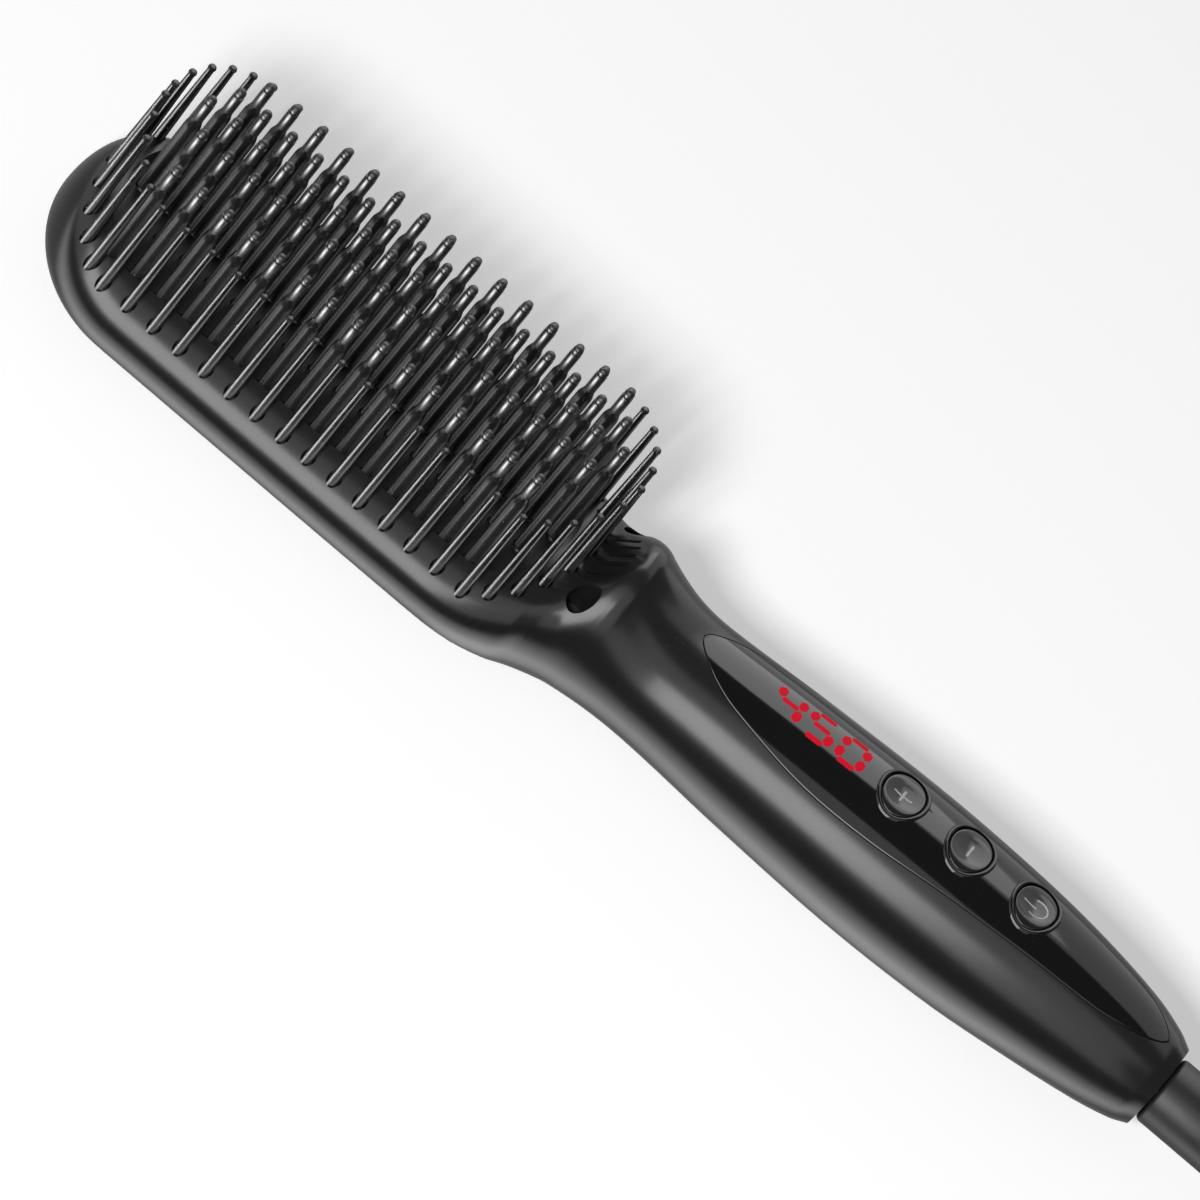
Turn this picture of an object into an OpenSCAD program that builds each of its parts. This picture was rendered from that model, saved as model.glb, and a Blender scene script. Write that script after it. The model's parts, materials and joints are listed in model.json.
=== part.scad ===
/* [Body] */
// Length from the tip of the head to the end face of the handle
length = 245; // [225:1:265]
// Width of the head across its two long sides
head_w = 46.6; // [44:0.1:50]
// Thickness of the moulded wall
wall = 2.2; // [1.8:0.1:2.6]
// Height of the head's crown above the handle's axis
crown_top = 9.8; // [9:0.1:11]
// Radius of the crown across the head
crown_r = 34.6; // [32:0.1:60]
// Length of the handle, from the top of the shoulder to its end face
handle_len = 125; // [118:0.5:140]
// How far the shoulder stands above the round neck
shoulder_rise = 5; // [4:0.1:6]
// Diameter of the neck
neck_d = 26.8; // [26:0.1:29]
// Largest diameter of the handle
handle_d = 30.8; // [30:0.1:33]
// Diameter of the handle at its end face
end_d = 16.6; // [16.2:0.1:18]
// How wide the rolled edge of the head is, seen from above
edge_roll = 3.6; // [3:0.1:4]
// Height of the parting below the axis, out of sight from above
parting_drop = 11.3; // [11:0.1:12]

/* [Guard bristles] */
// Distance of the two straight bristle rows from the head's sides
guard_side = 3.4; // [3.3:0.1:4]
// Distance from the head's tip to the bristle ring
guard_front = 4.6; // [4.5:0.1:6]
// Distance from the bristle ring to the top of the shoulder
guard_back = 9.6; // [9.4:0.1:11]
// Length of each curved end of the bristle ring
guard_end = 15; // [14:0.1:16]
// Diameter of a bristle at its root
guard_d = 2.5; // [2.2:0.1:2.7]
// Diameter of a bristle at its tip
guard_tip_d = 1.7; // [1.4:0.1:2]
// Room round each bristle in its hole
guard_gap = 0.35; // [0.2:0.05:0.5]
// Height of the guard bristles above the axis in the middle plane
guard_tip = 30.2; // [28:0.1:32]
// How much lower the bristles of the straight rows end
guard_drop = 3.5; // [2:0.1:4]

/* [Heated teeth] */
// Distance from tooth to tooth in a row, and from bristle to bristle
pitch = 5.79; // [5.6:0.01:5.8]
// Distance of the inner tooth rows from the middle row
row_inner = 6.6; // [6.4:0.1:6.8]
// Distance of the outer tooth rows from the straight bristle rows
row_gap = 5.2; // [5.1:0.1:5.6]
// Diameter of the wide heated part of a tooth
tooth_d = 3.1; // [2.8:0.1:3.2]
// Diameter of a tooth's insulating tip
tip_d = 2.1; // [1.9:0.1:2.4]
// Height of the middle row's tips above the axis
tooth_top = 35; // [33:0.1:37]
// How much lower the tips of the outer rows end
tooth_drop = 3.3; // [2:0.1:4]
// Length of an insulating tip
tip_len = 6.3; // [5:0.1:7]
// Thickness of the heating plate
plate_t = 2.4; // [2:0.1:3]

/* [Control panel] */
// Thickness of the panel's window
window_t = 1.1; // [0.9:0.1:1.2]
// Largest half-width of the leaf-shaped panel
panel_half = 10.4; // [9.5:0.1:10.6]
// Length of a button along the handle
button_l = 8; // [7:0.1:8.4]
// Width of a button across the handle
button_w = 9.8; // [9:0.1:10]
// Distance from button to button
button_pitch = 14.9; // [14:0.1:15]
// Distance from the top of the shoulder to the first button
button_start = 58.8; // [58:0.1:60]
// Room round each button
button_gap = 0.25; // [0.15:0.05:0.3]
// Travel of a button
travel = 0.5; // [0.3:0.05:0.6]
// Width of one display digit between the middles of its upright segments
digit_w = 4.45; // [4:0.05:4.8]
// Height of one display digit between the middles of its level segments
digit_h = 5.8; // [5:0.1:6.2]
// Distance from digit to digit
digit_pitch = 6.9; // [6.8:0.05:7.2]
// Distance from the middle digit to the first button
digit_gap = 18.1; // [18:0.1:19]

/* [Swivel and cord] */
// Diameter of the turning cord sleeve
sleeve_d = 13.4; // [12:0.1:14]
// Length of the cord sleeve outside the handle
sleeve_len = 42; // [36:1:50]
// Diameter of the sleeve's journal in its bush
journal_d = 9; // [8:0.1:9.4]
// Radial running clearance of the journal
journal_gap = 0.05; // [0.02:0.01:0.09]
// Diameter of the mains cord
cord_d = 6.5; // [6:0.1:7]

/* [Hidden] */
$fn = 48;
seat_gap = 0.1;
shoulder_x = length - handle_len;
head_r = head_w / 2;
guard_y = head_r - guard_side;
guard_x = (guard_front + shoulder_x - guard_back) / 2;
guard_half = guard_x - guard_front;
// Five rows of teeth: distance from the middle, first tooth and room left to the shoulder
tooth_rows = ["a", "b", "c", "d", "e"];
row_outer = guard_y - row_gap;
row_y = [row_outer, row_inner, 0, -row_inner, -row_outer];
row_x = [17.2, 14.25, 11.45, 14.25, 15.05];
row_room = [21.4, 18.4, 15.4, 18.4, 21.4];
row_count = [for (i = [0 : 4]) 1 + floor((shoulder_x - row_room[i] - row_x[i]) / pitch)];
neck_r = neck_d / 2;
handle_r = handle_d / 2;
end_r = end_d / 2;
rest_z = handle_r + 0.5;
crown_z = crown_top - crown_r;
inner_crown_r = crown_r - wall;
plate_r = inner_crown_r - seat_gap;
belly_x = length - 62;
total_len = length + sleeve_len;
ring_inset = 2.55;
opening_inset = 3.5;

// Places what is drawn from the head's tip and the handle's axis into the part's frame
module place() {
    translate([-total_len / 2, 0, rest_z]) children();
}

function mix(a, b, f) = a + (b - a) * f;
function ease(a, b, x) = let (s = min(1, max(0, (x - a) / (b - a)))) s * s * (3 - 2 * s);

// Smooth curve through a list of [x, value] points
function span(t, x, i = 0) = i >= len(t) - 2 || x < t[i + 1][0] ? i : span(t, x, i + 1);
function slope(t, i) = let (a = max(0, i - 1), b = min(len(t) - 1, i + 1))
    (t[b][1] - t[a][1]) / (t[b][0] - t[a][0]);
function curve(t, x) = let (
    i = span(t, x),
    h = t[i + 1][0] - t[i][0],
    s = min(1, max(0, (x - t[i][0]) / h)))
    t[i][1] * (1 + 2 * s) * pow(1 - s, 2) + t[i + 1][1] * s * s * (3 - 2 * s)
    + h * s * (1 - s) * (slope(t, i) * (1 - s) - slope(t, i + 1) * s);

// Half-width, seen from above
plan = [[0, head_r], [shoulder_x - 28, head_r],
    [shoulder_x - 19, mix(neck_r, head_r, 0.9)], [shoulder_x - 12, mix(neck_r, head_r, 0.63)],
    [shoulder_x - 8.2, mix(neck_r, head_r, 0.39)], [shoulder_x - 4.4, mix(neck_r, head_r, 0.22)],
    [shoulder_x, mix(neck_r, head_r, 0.1)], [shoulder_x + 14, neck_r],
    [shoulder_x + 38, mix(neck_r, handle_r, 0.58)], [belly_x, handle_r],
    [length - 40, handle_r - 0.5], [length - 24, handle_r - 1.9],
    [length - 10, end_r + 3.2], [length - 3, end_r + 1.4], [length, end_r]];
// Height of the widest line, which bows down a little behind the neck
edge_line = [[0, 2.2], [head_r, 1.2], [shoulder_x - 12, 0.6], [shoulder_x - 4.4, -0.6],
    [shoulder_x + 4, -1], [shoulder_x + 14, -1.15], [shoulder_x + 38, -0.9], [belly_x, -0.5],
    [length - 40, 0], [length - 24, 0.55], [length - 10, 0.6], [length, 0.2]];
// The shoulder's share of its full height behind its top
hump = [[shoulder_x, 1], [shoulder_x + 1.5, 0.94], [shoulder_x + 2.8, 0.78],
    [shoulder_x + 5.8, 0.49], [shoulder_x + 9.9, 0.21], [shoulder_x + 15, 0.03],
    [shoulder_x + 19, 0], [length, 0]];
// The slope's share of the rise from the crown to the shoulder
ramp = [[shoulder_x - 12, 0], [shoulder_x - 10.2, 0.03], [shoulder_x - 8, 0.19],
    [shoulder_x - 6.1, 0.43], [shoulder_x - 4.5, 0.64], [shoulder_x - 2.8, 0.85],
    [shoulder_x - 1.4, 0.965], [shoulder_x, 1]];
// The underside's share of the way from the head's back to the round neck
tuck = [[0, 0], [shoulder_x - 28, 0], [shoulder_x - 12, 0.24], [shoulder_x - 4.4, 0.55],
    [shoulder_x + 4, 0.85], [shoulder_x + 14, 1], [length, 1]];

function half_at(x) = curve(plan, x);
function edge_at(x) = curve(edge_line, x);
shoulder_top = edge_at(shoulder_x) + half_at(shoulder_x) + shoulder_rise;
function top_at(x) = x < shoulder_x
    ? mix(crown_top, shoulder_top, curve(ramp, x))
    : edge_at(x) + half_at(x) + shoulder_rise * curve(hump, x);
function bottom_at(x) = mix(-rest_z - 0.3, edge_at(x) - half_at(x), curve(tuck, x));

// Share of the way from the middle to the outline, for a surface set in by inset
function rho(x, y, inset) = min(1, x < head_r
    ? norm([head_r - x, y]) / (head_r - inset)
    : abs(y) / (half_at(x) - inset));
function crown_at(x, y, inset) = top_at(x) - crown_r + sqrt(pow(crown_r - inset, 2) - y * y);
function rolled(x, y, inset) = let (
    roll = edge_roll - 0.6 * inset,
    d = min(1, (1 - rho(x, y, inset)) * (head_r - inset) / roll))
    sqrt(1 - (1 - d) * (1 - d));
function upper(x, y, inset) = let (
    e = edge_at(x),
    head_z = e + (crown_at(x, y, inset) - e) * rolled(x, y, inset),
    neck_z = e + (top_at(x) - inset - e) * sqrt(max(0, 1 - pow(rho(x, y, inset), 2))))
    mix(head_z, neck_z, ease(shoulder_x - 12.5, shoulder_x - 5, x));
function lower(x, y, inset) = let (
    n = mix(2.35, 2, curve(tuck, x)),
    e = edge_at(x))
    e - (e - bottom_at(x) - inset) * pow(max(0, 1 - pow(rho(x, y, inset), n)), 1 / n);
function half_in(x, inset) = x < head_r
    ? sqrt(max(0, pow(head_r - inset, 2) - pow(head_r - x, 2)))
    : half_at(x) - inset;

// Point of one cross-section at an angle round the axis, set in by inset
function section_point(x, inset, a) = let (y = half_in(x, inset) * cos(a))
    [x, y, sin(a) >= 0 ? upper(x, y, inset) : lower(x, y, inset)];

// Closed skin over a row of rings that all have the same number of points
module skin(rings) {
    n = len(rings[0]);
    last = (len(rings) - 1) * n;
    polyhedron([for (ring = rings) each ring], concat(
        [[for (k = [0 : n - 1]) k]],
        [for (i = [0 : len(rings) - 2]) for (k = [0 : n - 1])
            each let (a = i * n + k, b = i * n + (k + 1) % n)
                [[a, a + n, b + n], [a, b + n, b]]],
        [[for (k = [n - 1 : -1 : 0]) last + k]]));
}

module loft(stations, inset = 0) {
    skin([for (x = stations) [for (a = [0 : 9 : 351]) section_point(x, inset, a)]]);
}

// The top of the handle alone, down to the axis
module top_loft(stations, inset = 0) {
    skin([for (x = stations)
        [for (a = [35 : 8.4615 : 146]) section_point(x, inset, a),
            [x, -half_in(x, inset) * cos(35), -2], [x, half_in(x, inset) * cos(35), -2]]]);
}

neck_steps = [-28, -20, -15, -11.5, -9.5, -8, -6.5, -5, -3.5, -2.2, -1, 0, 1.2, 2.5, 4.2, 6.5, 9.5, 14];
handle_steps = [20, 29, 38, 50];
end_steps = [-62, -50, -40, -32, -24, -17, -10, -5.5, -2.6, -0.7, -0.02];
body_stations = [0.06, for (a = [12 : 12 : 84]) head_r * (1 - cos(a)), head_r,
    for (s = neck_steps) shoulder_x + s,
    for (s = handle_steps) shoulder_x + s,
    for (s = end_steps) length + s];
core_end = length - 8;
core_stations = [for (a = [8, 14, 20, 27, 36, 50, 68]) head_r - (head_r - wall) * cos(a), head_r,
    for (s = [-28, -18, -12, -9, -6.5, -4, -2, 0, 2.5, 6, 10, 16, 28, 44]) shoulder_x + s,
    for (s = [-62, -45, -32, -22, -13]) length + s, core_end];

module body_solid() {
    loft(body_stations);
}

module body_core() {
    loft(core_stations, wall);
}

// Block that takes in all that lies below the parting, or above it
module beyond_parting(above) {
    span_z = 4 * handle_r;
    translate([-10, -head_w, above ? -parting_drop : -parting_drop - span_z])
        cube([total_len, 2 * head_w, span_z]);
}

// Outline of the bristle ring, set in by inset: straight sides and elliptic ends
function ring_end(side, inset, a) = [
    guard_x + side * (guard_half - guard_end + (guard_end - inset) * cos(a)),
    side * (guard_y - inset) * sin(a)];
module ring_shape(inset) {
    polygon([for (side = [1, -1]) for (a = [-90 : 10 : 90]) ring_end(side, inset, a)]);
}

// The opening gives way round the outer rows' first and last teeth
module plate_opening() {
    ring_shape(opening_inset);
    for (i = [0, 4])
        for (k = [0, row_count[i] - 1])
            translate([row_x[i] + k * pitch, row_y[i]]) circle(d = tooth_d + 0.5, $fn = 24);
}

module crown_tube(outer_r, inner_r) {
    translate([-5, 0, crown_z]) rotate([0, 90, 0]) difference() {
        cylinder(r = outer_r, h = shoulder_x);
        translate([0, 0, -1]) cylinder(r = inner_r, h = shoulder_x + 2);
    }
}

// Places of the guard bristles, one list for each comb
side_start = 22.9;
side_x = [for (x = [side_start : pitch : shoulder_x - 21.7]) x];
tip_angles = [for (s = [1, -1]) for (i = [0 : 5]) s * (5 + 15.2 * i)];
neck_angles = [for (i = [-4 : 4]) 15.9 * i];
near_places = [for (x = side_x) [x, -guard_y]];
far_places = [for (x = side_x) [x, guard_y]];
tip_places = [for (a = tip_angles) ring_end(-1, 0, a)];
neck_places = [for (a = neck_angles) ring_end(1, 0, a)];
all_places = concat(near_places, far_places, tip_places, neck_places);

// Leaf outline of the control panel, wide behind the digits and pointed at its ends
panel_start = shoulder_x + 15;
panel_end = length - 4;
panel_leaf = [[panel_start, 0], [panel_start + 0.6, 1.3], [panel_start + 2.4, 2.9],
    [panel_start + 6, 5.1], [panel_start + 12, panel_half - 3.2], [panel_start + 28, panel_half - 0.5],
    [panel_start + 44, panel_half], [length - 48, panel_half - 1.2], [length - 35, panel_half - 2.2],
    [length - 18, panel_half - 3.9], [length - 11, panel_half - 5.7], [length - 7, 3],
    [panel_end - 0.7, 1.2], [panel_end, 0]];
leaf_at = [0, 0.2, 0.6, 1.3, 2.4, 4, 6, 9, 12, 18, 28, 36, 44, 54, 64, 76, 88, 96, 99, 102, 104,
    105.3, 105.8, 106];
module leaf(grow) {
    reach = (panel_end - panel_start) / 106;
    sides = [for (s = leaf_at) [panel_start + s * reach, curve(panel_leaf, panel_start + s * reach)]];
    offset(delta = grow) polygon([for (p = sides) [p[0], -p[1]],
        for (i = [len(sides) - 2 : -1 : 1]) sides[i]]);
}
module leaf_prism(grow) {
    linear_extrude(height = 2 * handle_r) leaf(grow);
}
panel_stations = [for (s = [14, 17, 20, 24, 29, 33, 38, 44, 50]) shoulder_x + s,
    for (s = [-66, -58, -50, -40, -32, -24, -17, -10, -5, -2]) length + s];

button_x = [for (i = [0 : 2]) shoulder_x + button_start + i * button_pitch];
module oval(l, w) {
    polygon([for (a = [0 : 15 : 345]) [l / 2 * cos(a), w / 2 * sin(a)]]);
}
bezel_w = 0.65;
bezel_rise = 0.3;

// Middles of the three digits and the segments that are lit in each
digit_x = [for (i = [-1 : 1]) button_x[0] - digit_gap + i * digit_pitch];
lit = ["fgbc", "afgcd", "abcdef"];
level_bar = [3.7, 1.1];
upright_bar = [1.7, 2.7];
function segment_at(s) =
    s == "a" ? [0, digit_h / 2] : s == "g" ? [0, 0] : s == "d" ? [0, -digit_h / 2]
    : s == "f" ? [-digit_w / 2, digit_h / 4] : s == "b" ? [digit_w / 2, digit_h / 4]
    : s == "e" ? [-digit_w / 2, -digit_h / 4] : [digit_w / 2, -digit_h / 4];
// Bar with pointed ends
module bar_shape(size, grow = 0) {
    a = size[0] / 2 + grow;
    b = size[1] / 2 + grow;
    c = min(a, b) * 0.75;
    polygon(a > b
        ? [[-a, 0], [-a + c, b], [a - c, b], [a, 0], [a - c, -b], [-a + c, -b]]
        : [[0, b], [a, b - c], [a, c - b], [0, -b], [-a, c - b], [-a, b - c]]);
}
module lit_bars(grow, height) {
    for (i = [0 : 2])
        for (s = lit[i])
            let (at = segment_at(s))
                translate([digit_x[i] + at[0], at[1], 0])
                    linear_extrude(height = height)
                        bar_shape(at[0] == 0 ? level_bar : upright_bar, grow);
}

// Screws at the neck, sunk in two pockets that open beside the vent
screw_x = shoulder_x - 5.2;
screw_y = 10.2;
pocket_d = 5.4;
screw_seat = 3.5;
screw_d = 3;
boss_end = -1.5;
lug_t = 3;
lug_w = 4.6;
boss_d = pocket_d + 2.6;
vent_x = shoulder_x - 4.9;
vent_y = [0, 2.47, -2.47, 4.99, -4.99];
vent_slot = [5.1, 1];

board_top = 6.4;
board_t = 1.6;
board_x = [shoulder_x + 18, length - 19];
board_half = 10;
post_at = [[board_x[0] + 3, 6.6], [board_x[0] + 3, -6.6], [board_x[1] - 4, 7.7], [board_x[1] - 4, -7.7]];
post_d = 3.6;
board_screw_d = 1.8;
board_screw_head = [3.4, 1.3];
board_screw_bite = 1.7;

bush_d = 13;
bush_start = core_end - 1.6;

module front_shell() {
    color("dimgray") place() difference() {
        body_solid();
        difference() {
            body_core();
            for (s = [1, -1])
                translate([screw_x, s * screw_y, boss_end])
                    cylinder(d = boss_d, h = 30, $fn = 20);
            for (p = post_at)
                translate([p[0], p[1], board_top]) cylinder(d = post_d, h = 10, $fn = 16);
        }
        beyond_parting(false);
        intersection() {
            linear_extrude(height = 2 * handle_r) plate_opening();
            crown_tube(crown_r + 5, plate_r - 6);
        }
        for (p = all_places)
            translate([p[0], p[1], -2])
                cylinder(d = guard_d + 2 * guard_gap, h = 30, $fn = 24);
        for (y = vent_y)
            translate([vent_x, y, upper(vent_x, y, 0)]) rotate([0, -45, 0])
                cube([vent_slot[0], vent_slot[1], 4 * wall], center = true);
        for (s = [1, -1])
            translate([screw_x, s * screw_y, 0]) {
                translate([0, 0, screw_seat]) cylinder(d = pocket_d, h = 30, $fn = 20);
                translate([0, 0, -30]) cylinder(d = screw_d + 0.4, h = 60, $fn = 14);
            }
        for (p = post_at)
            translate([p[0], p[1], board_top - 1])
                cylinder(d = board_screw_d - 0.2, h = 2.8, $fn = 16);
        difference() {
            leaf_prism(seat_gap);
            top_loft(panel_stations, window_t + seat_gap);
        }
        intersection() {
            leaf_prism(-1.3);
            translate([0, -panel_half, 0]) cube([core_end - 1, 2 * panel_half, 2 * handle_r]);
        }
        translate([core_end - 2, 0, edge_at(length)]) rotate([0, 90, 0])
            cylinder(d = bush_d, h = 20, $fn = 48);
    }
}

// Four posts that hold the carrier up
module cover_posts(grow) {
    for (x = carrier_post_x)
        for (s = [1, -1])
            translate([x, s * carrier_post_y, -20])
                cylinder(d = carrier_post_d + 2 * grow, h = 20 + carrier_foot, $fn = 16);
}

module rear_cover() {
    color("dimgray") place() difference() {
        body_solid();
        difference() {
            body_core();
            cover_posts(0);
        }
        difference() {
            beyond_parting(true);
            cover_posts(0.05);
        }
        translate([-10, -head_w, -rest_z - 10]) cube([total_len, 2 * head_w, 10]);
    }
}

// Heating plate, curved like the crown, with a flat pad below for the heater
heater_len = 2 * guard_half - 39.8;
pad_end = 4;
pad_x = [guard_x - heater_len / 2 - pad_end, guard_x + heater_len / 2 + pad_end];
pad_half = guard_y - 10.5;
pad_z = crown_z + plate_r - plate_t - 2;
heater_t = 1.3;
film_t = 0.3;
clamp_t = 1;
heater_half = pad_half - 3.4;
clamp_z = pad_z - heater_t - film_t - clamp_t;
clamp_screw_d = 1.66;
clamp_screws = [for (i = [-1 : 1]) for (s = [1, -1])
    [guard_x + i * (heater_len / 2 - 3), s * (pad_half - 1.7)]];
rail_w = tooth_d;
rail_t = 1.1;

module heating_plate() {
    color("black") place() difference() {
        union() {
            intersection() {
                linear_extrude(height = 2 * handle_r) ring_shape(ring_inset);
                crown_tube(plate_r, plate_r - plate_t);
            }
            intersection() {
                translate([pad_x[0], -pad_half, pad_z])
                    cube([pad_x[1] - pad_x[0], 2 * pad_half, 10]);
                translate([0, 0, crown_z]) rotate([0, 90, 0])
                    cylinder(r = plate_r - plate_t / 2, h = shoulder_x);
            }
            for (p = clamp_screws)
                translate([p[0], p[1], pad_z - heater_t])
                    cylinder(d = 3.2, h = heater_t + 1);
        }
        intersection() {
            for (y = row_y)
                translate([0, y - rail_w / 2 - seat_gap, 0])
                    cube([shoulder_x, rail_w + 2 * seat_gap, 2 * handle_r]);
            crown_tube(plate_r + 2, plate_r - rail_t);
        }
        for (p = clamp_screws)
            translate([p[0], p[1], pad_z - heater_t - 1])
                cylinder(d = clamp_screw_d + 0.04, h = 4);
    }
}

function row_top(y) = tooth_top - tooth_drop * pow(y / row_outer, 2);
core_d = 1.2;
shoulder_len = 2.4;

// One row of heated teeth on the rail that sits in the plate's groove
module tooth_row(i) {
    y = row_y[i];
    top = row_top(y);
    root = crown_z + sqrt(pow(plate_r - rail_t / 2, 2) - y * y);
    last = row_x[i] + (row_count[i] - 1) * pitch;
    color("black") place() union() {
        intersection() {
            translate([row_x[i] - tooth_d / 2, y - rail_w / 2, 0])
                cube([last - row_x[i] + tooth_d, rail_w, 2 * handle_r]);
            crown_tube(plate_r, plate_r - rail_t + 0.02);
        }
        for (k = [0 : row_count[i] - 1])
            translate([row_x[i] + k * pitch, y, 0]) rotate_extrude()
                polygon([[0, root], [tooth_d / 2 - 0.05, root],
                    [tooth_d / 2 - 0.05, top - tip_len - shoulder_len],
                    [tip_d / 2, top - tip_len], [core_d / 2, top - tip_len],
                    [core_d / 2, top - 0.9], [0, top - 0.9]]);
    }
}

// Insulating tips, each a sleeve with a round end on the core of its tooth
module tooth_tips(i) {
    y = row_y[i];
    top = row_top(y);
    r = tip_d / 2;
    color("darkslategray") place() for (k = [0 : row_count[i] - 1])
        translate([row_x[i] + k * pitch, y, 0]) rotate_extrude()
            polygon([[core_d / 2 + 0.02, top - tip_len], [r, top - tip_len],
                for (a = [0 : 15 : 90]) [r * cos(a), top - r + r * sin(a)],
                [0, top - 0.85], [core_d / 2 + 0.02, top - 0.85]]);
}

function guard_top(y) = guard_tip - guard_drop * pow(y / guard_y, 2);
comb_r = inner_crown_r - 0.45;
carrier_r = plate_r - plate_t;
comb_t = comb_r - carrier_r;
carrier_t = 1.5;
carrier_post_x = [guard_x - 20, guard_x + 20];
carrier_post_y = guard_y - 8.7;
carrier_post_d = 3.8;
carrier_foot = crown_z - seat_gap
    + sqrt(pow(carrier_r - carrier_t, 2) - pow(carrier_post_y + carrier_post_d / 2, 2));

// A moulded strip under the shell with the bristles that stand through its holes
module guard_comb(places, x0, x1, side) {
    color("black") place() union() {
        intersection() {
            linear_extrude(height = 4 * handle_r, center = true) difference() {
                ring_shape(0.3);
                ring_shape(2);
            }
            crown_tube(comb_r, comb_r - comb_t);
            translate([x0, side > 0 ? 0 : -head_w, -handle_r])
                cube([x1 - x0, side == 0 ? 2 * head_w : head_w, 2 * handle_r]);
        }
        for (p = places)
            translate([p[0], p[1], 0]) rotate_extrude()
                let (z = crown_z + sqrt(pow(comb_r - 0.7, 2) - p[1] * p[1]), top = guard_top(p[1]))
                    polygon([[0, z], [guard_d / 2, z], [guard_d / 2, z + 4],
                        [guard_tip_d / 2, top - 0.5], [guard_tip_d / 2 - 0.4, top], [0, top]]);
    }
}
comb_split = [guard_x - guard_half + guard_end + 1, guard_x + guard_half - guard_end + 5];

// Oval carrier under the plate's rim and the combs: the rear cover's posts hold it up,
// and two lugs at the neck take the screws
module plate_carrier() {
    lug_top = boss_end - seat_gap;
    neck_edge = guard_x + guard_half;
    color("gray") place() difference() {
        union() {
            intersection() {
                linear_extrude(height = 4 * handle_r, center = true) difference() {
                    ring_shape(0.7);
                    ring_shape(9);
                }
                crown_tube(carrier_r, carrier_r - carrier_t);
            }
            for (s = [1, -1])
                translate([0, s * (screw_y - 0.4) + lug_w / 2, 0]) rotate([90, 0, 0])
                    linear_extrude(height = lug_w)
                        polygon([[neck_edge - 7, 2], [neck_edge - 2.5, 2], [neck_edge, lug_top],
                            [screw_x + 1.8, lug_top], [screw_x + 1.8, lug_top - lug_t],
                            [neck_edge - 3, lug_top - lug_t]]);
        }
        for (s = [1, -1])
            translate([screw_x, s * screw_y, lug_top - lug_t - 1])
                cylinder(d = screw_d - 0.4, h = lug_t + 2);
    }
}

module ceramic_heater() {
    color("gainsboro") place()
        translate([guard_x - heater_len / 2, -heater_half, pad_z - heater_t])
            cube([heater_len, 2 * heater_half, heater_t]);
}

module insulating_film() {
    color("goldenrod") place() difference() {
        translate([guard_x - heater_len / 2, -pad_half, pad_z - heater_t - film_t])
            cube([heater_len, 2 * pad_half, film_t]);
        for (p = clamp_screws)
            translate([p[0], p[1], pad_z - heater_t - 2]) cylinder(d = 2.4, h = 3);
    }
}

module heater_clamp() {
    color("silver") place() difference() {
        translate([guard_x - heater_len / 2, -pad_half, clamp_z])
            cube([heater_len, 2 * pad_half, clamp_t]);
        for (p = clamp_screws)
            translate([p[0], p[1], clamp_z - 1]) cylinder(d = 2.4, h = 3);
        for (x = [guard_x - 15, guard_x + 15])
            translate([x, 0, clamp_z - 1]) cylinder(d = 7, h = 3);
    }
}

module pan_screw(d, head_d, head_t, shank) {
    union() {
        cylinder(d = d, h = shank);
        translate([0, 0, -head_t]) cylinder(d = head_d, h = head_t);
    }
}

module heater_screws() {
    color("silver") place() for (p = clamp_screws)
        translate([p[0], p[1], clamp_z]) pan_screw(clamp_screw_d, 3.4, 1, 4);
}

// Glass bead and its sheathed tail, just past the pad's end
bead_d = 2;
bead_tail = [1.6, 5];
module thermistor() {
    color("firebrick") place()
        translate([pad_x[1] + bead_d / 2 + 0.5, 0, crown_z + carrier_r - 1.1]) {
            sphere(d = bead_d);
            rotate([0, 90, 0]) cylinder(d = bead_tail[0], h = bead_tail[1]);
        }
}

fuse_size = [3.4, 10];
fuse_wire = [0.8, 20];
module thermal_fuse() {
    color("white") place()
        translate([guard_x - heater_len / 5, 0, clamp_z - fuse_size[0] / 2]) rotate([0, 90, 0]) {
            cylinder(d = fuse_size[0], h = fuse_size[1]);
            translate([0, 0, (fuse_size[1] - fuse_wire[1]) / 2])
                cylinder(d = fuse_wire[0], h = fuse_wire[1]);
        }
}

// Four insulated leads from the heater's end to the underside of the board
lead_d = 1.2;
lead_z = pad_z - heater_t / 2 - 0.1;
module heater_leads() {
    x0 = guard_x + heater_len / 2;
    x1 = board_x[0] + 3;
    color("firebrick") place() for (y = [-3.9, -1.3, 1.3, 3.9])
        translate([x0, y, lead_z]) {
            rotate([0, 90, 0]) cylinder(d = lead_d, h = x1 - x0);
            translate([x1 - x0, 0, 0]) sphere(d = lead_d);
            translate([x1 - x0, 0, 0]) cylinder(d = lead_d, h = board_top - board_t - lead_z);
        }
}

// The board's edge follows the inside of the handle
function board_edge(x) = min(board_half,
    sqrt(pow(half_at(x) - wall - 0.4, 2) - pow(board_top - edge_at(x), 2)));
board_steps = [for (i = [0 : 8]) mix(board_x[0], board_x[1], i / 8)];
module main_board() {
    color("darkgreen") place() difference() {
        translate([0, 0, board_top - board_t]) linear_extrude(height = board_t)
            polygon([for (x = board_steps) [x, -board_edge(x)],
                for (i = [8 : -1 : 0]) [board_steps[i], board_edge(board_steps[i])]]);
        for (p = post_at)
            translate([p[0], p[1], 0]) cylinder(d = board_screw_d + 0.4, h = 10);
    }
}

display_t = 4.7;
module display_module() {
    color("black") place() translate([digit_x[1] - 11, -4.6, board_top]) cube([22, 9.2, display_t]);
}
bar_floor = board_top + display_t;

module display_digits() {
    color("red") place() intersection() {
        top_loft(panel_stations);
        translate([0, 0, bar_floor]) lit_bars(0, handle_r);
    }
}

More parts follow.
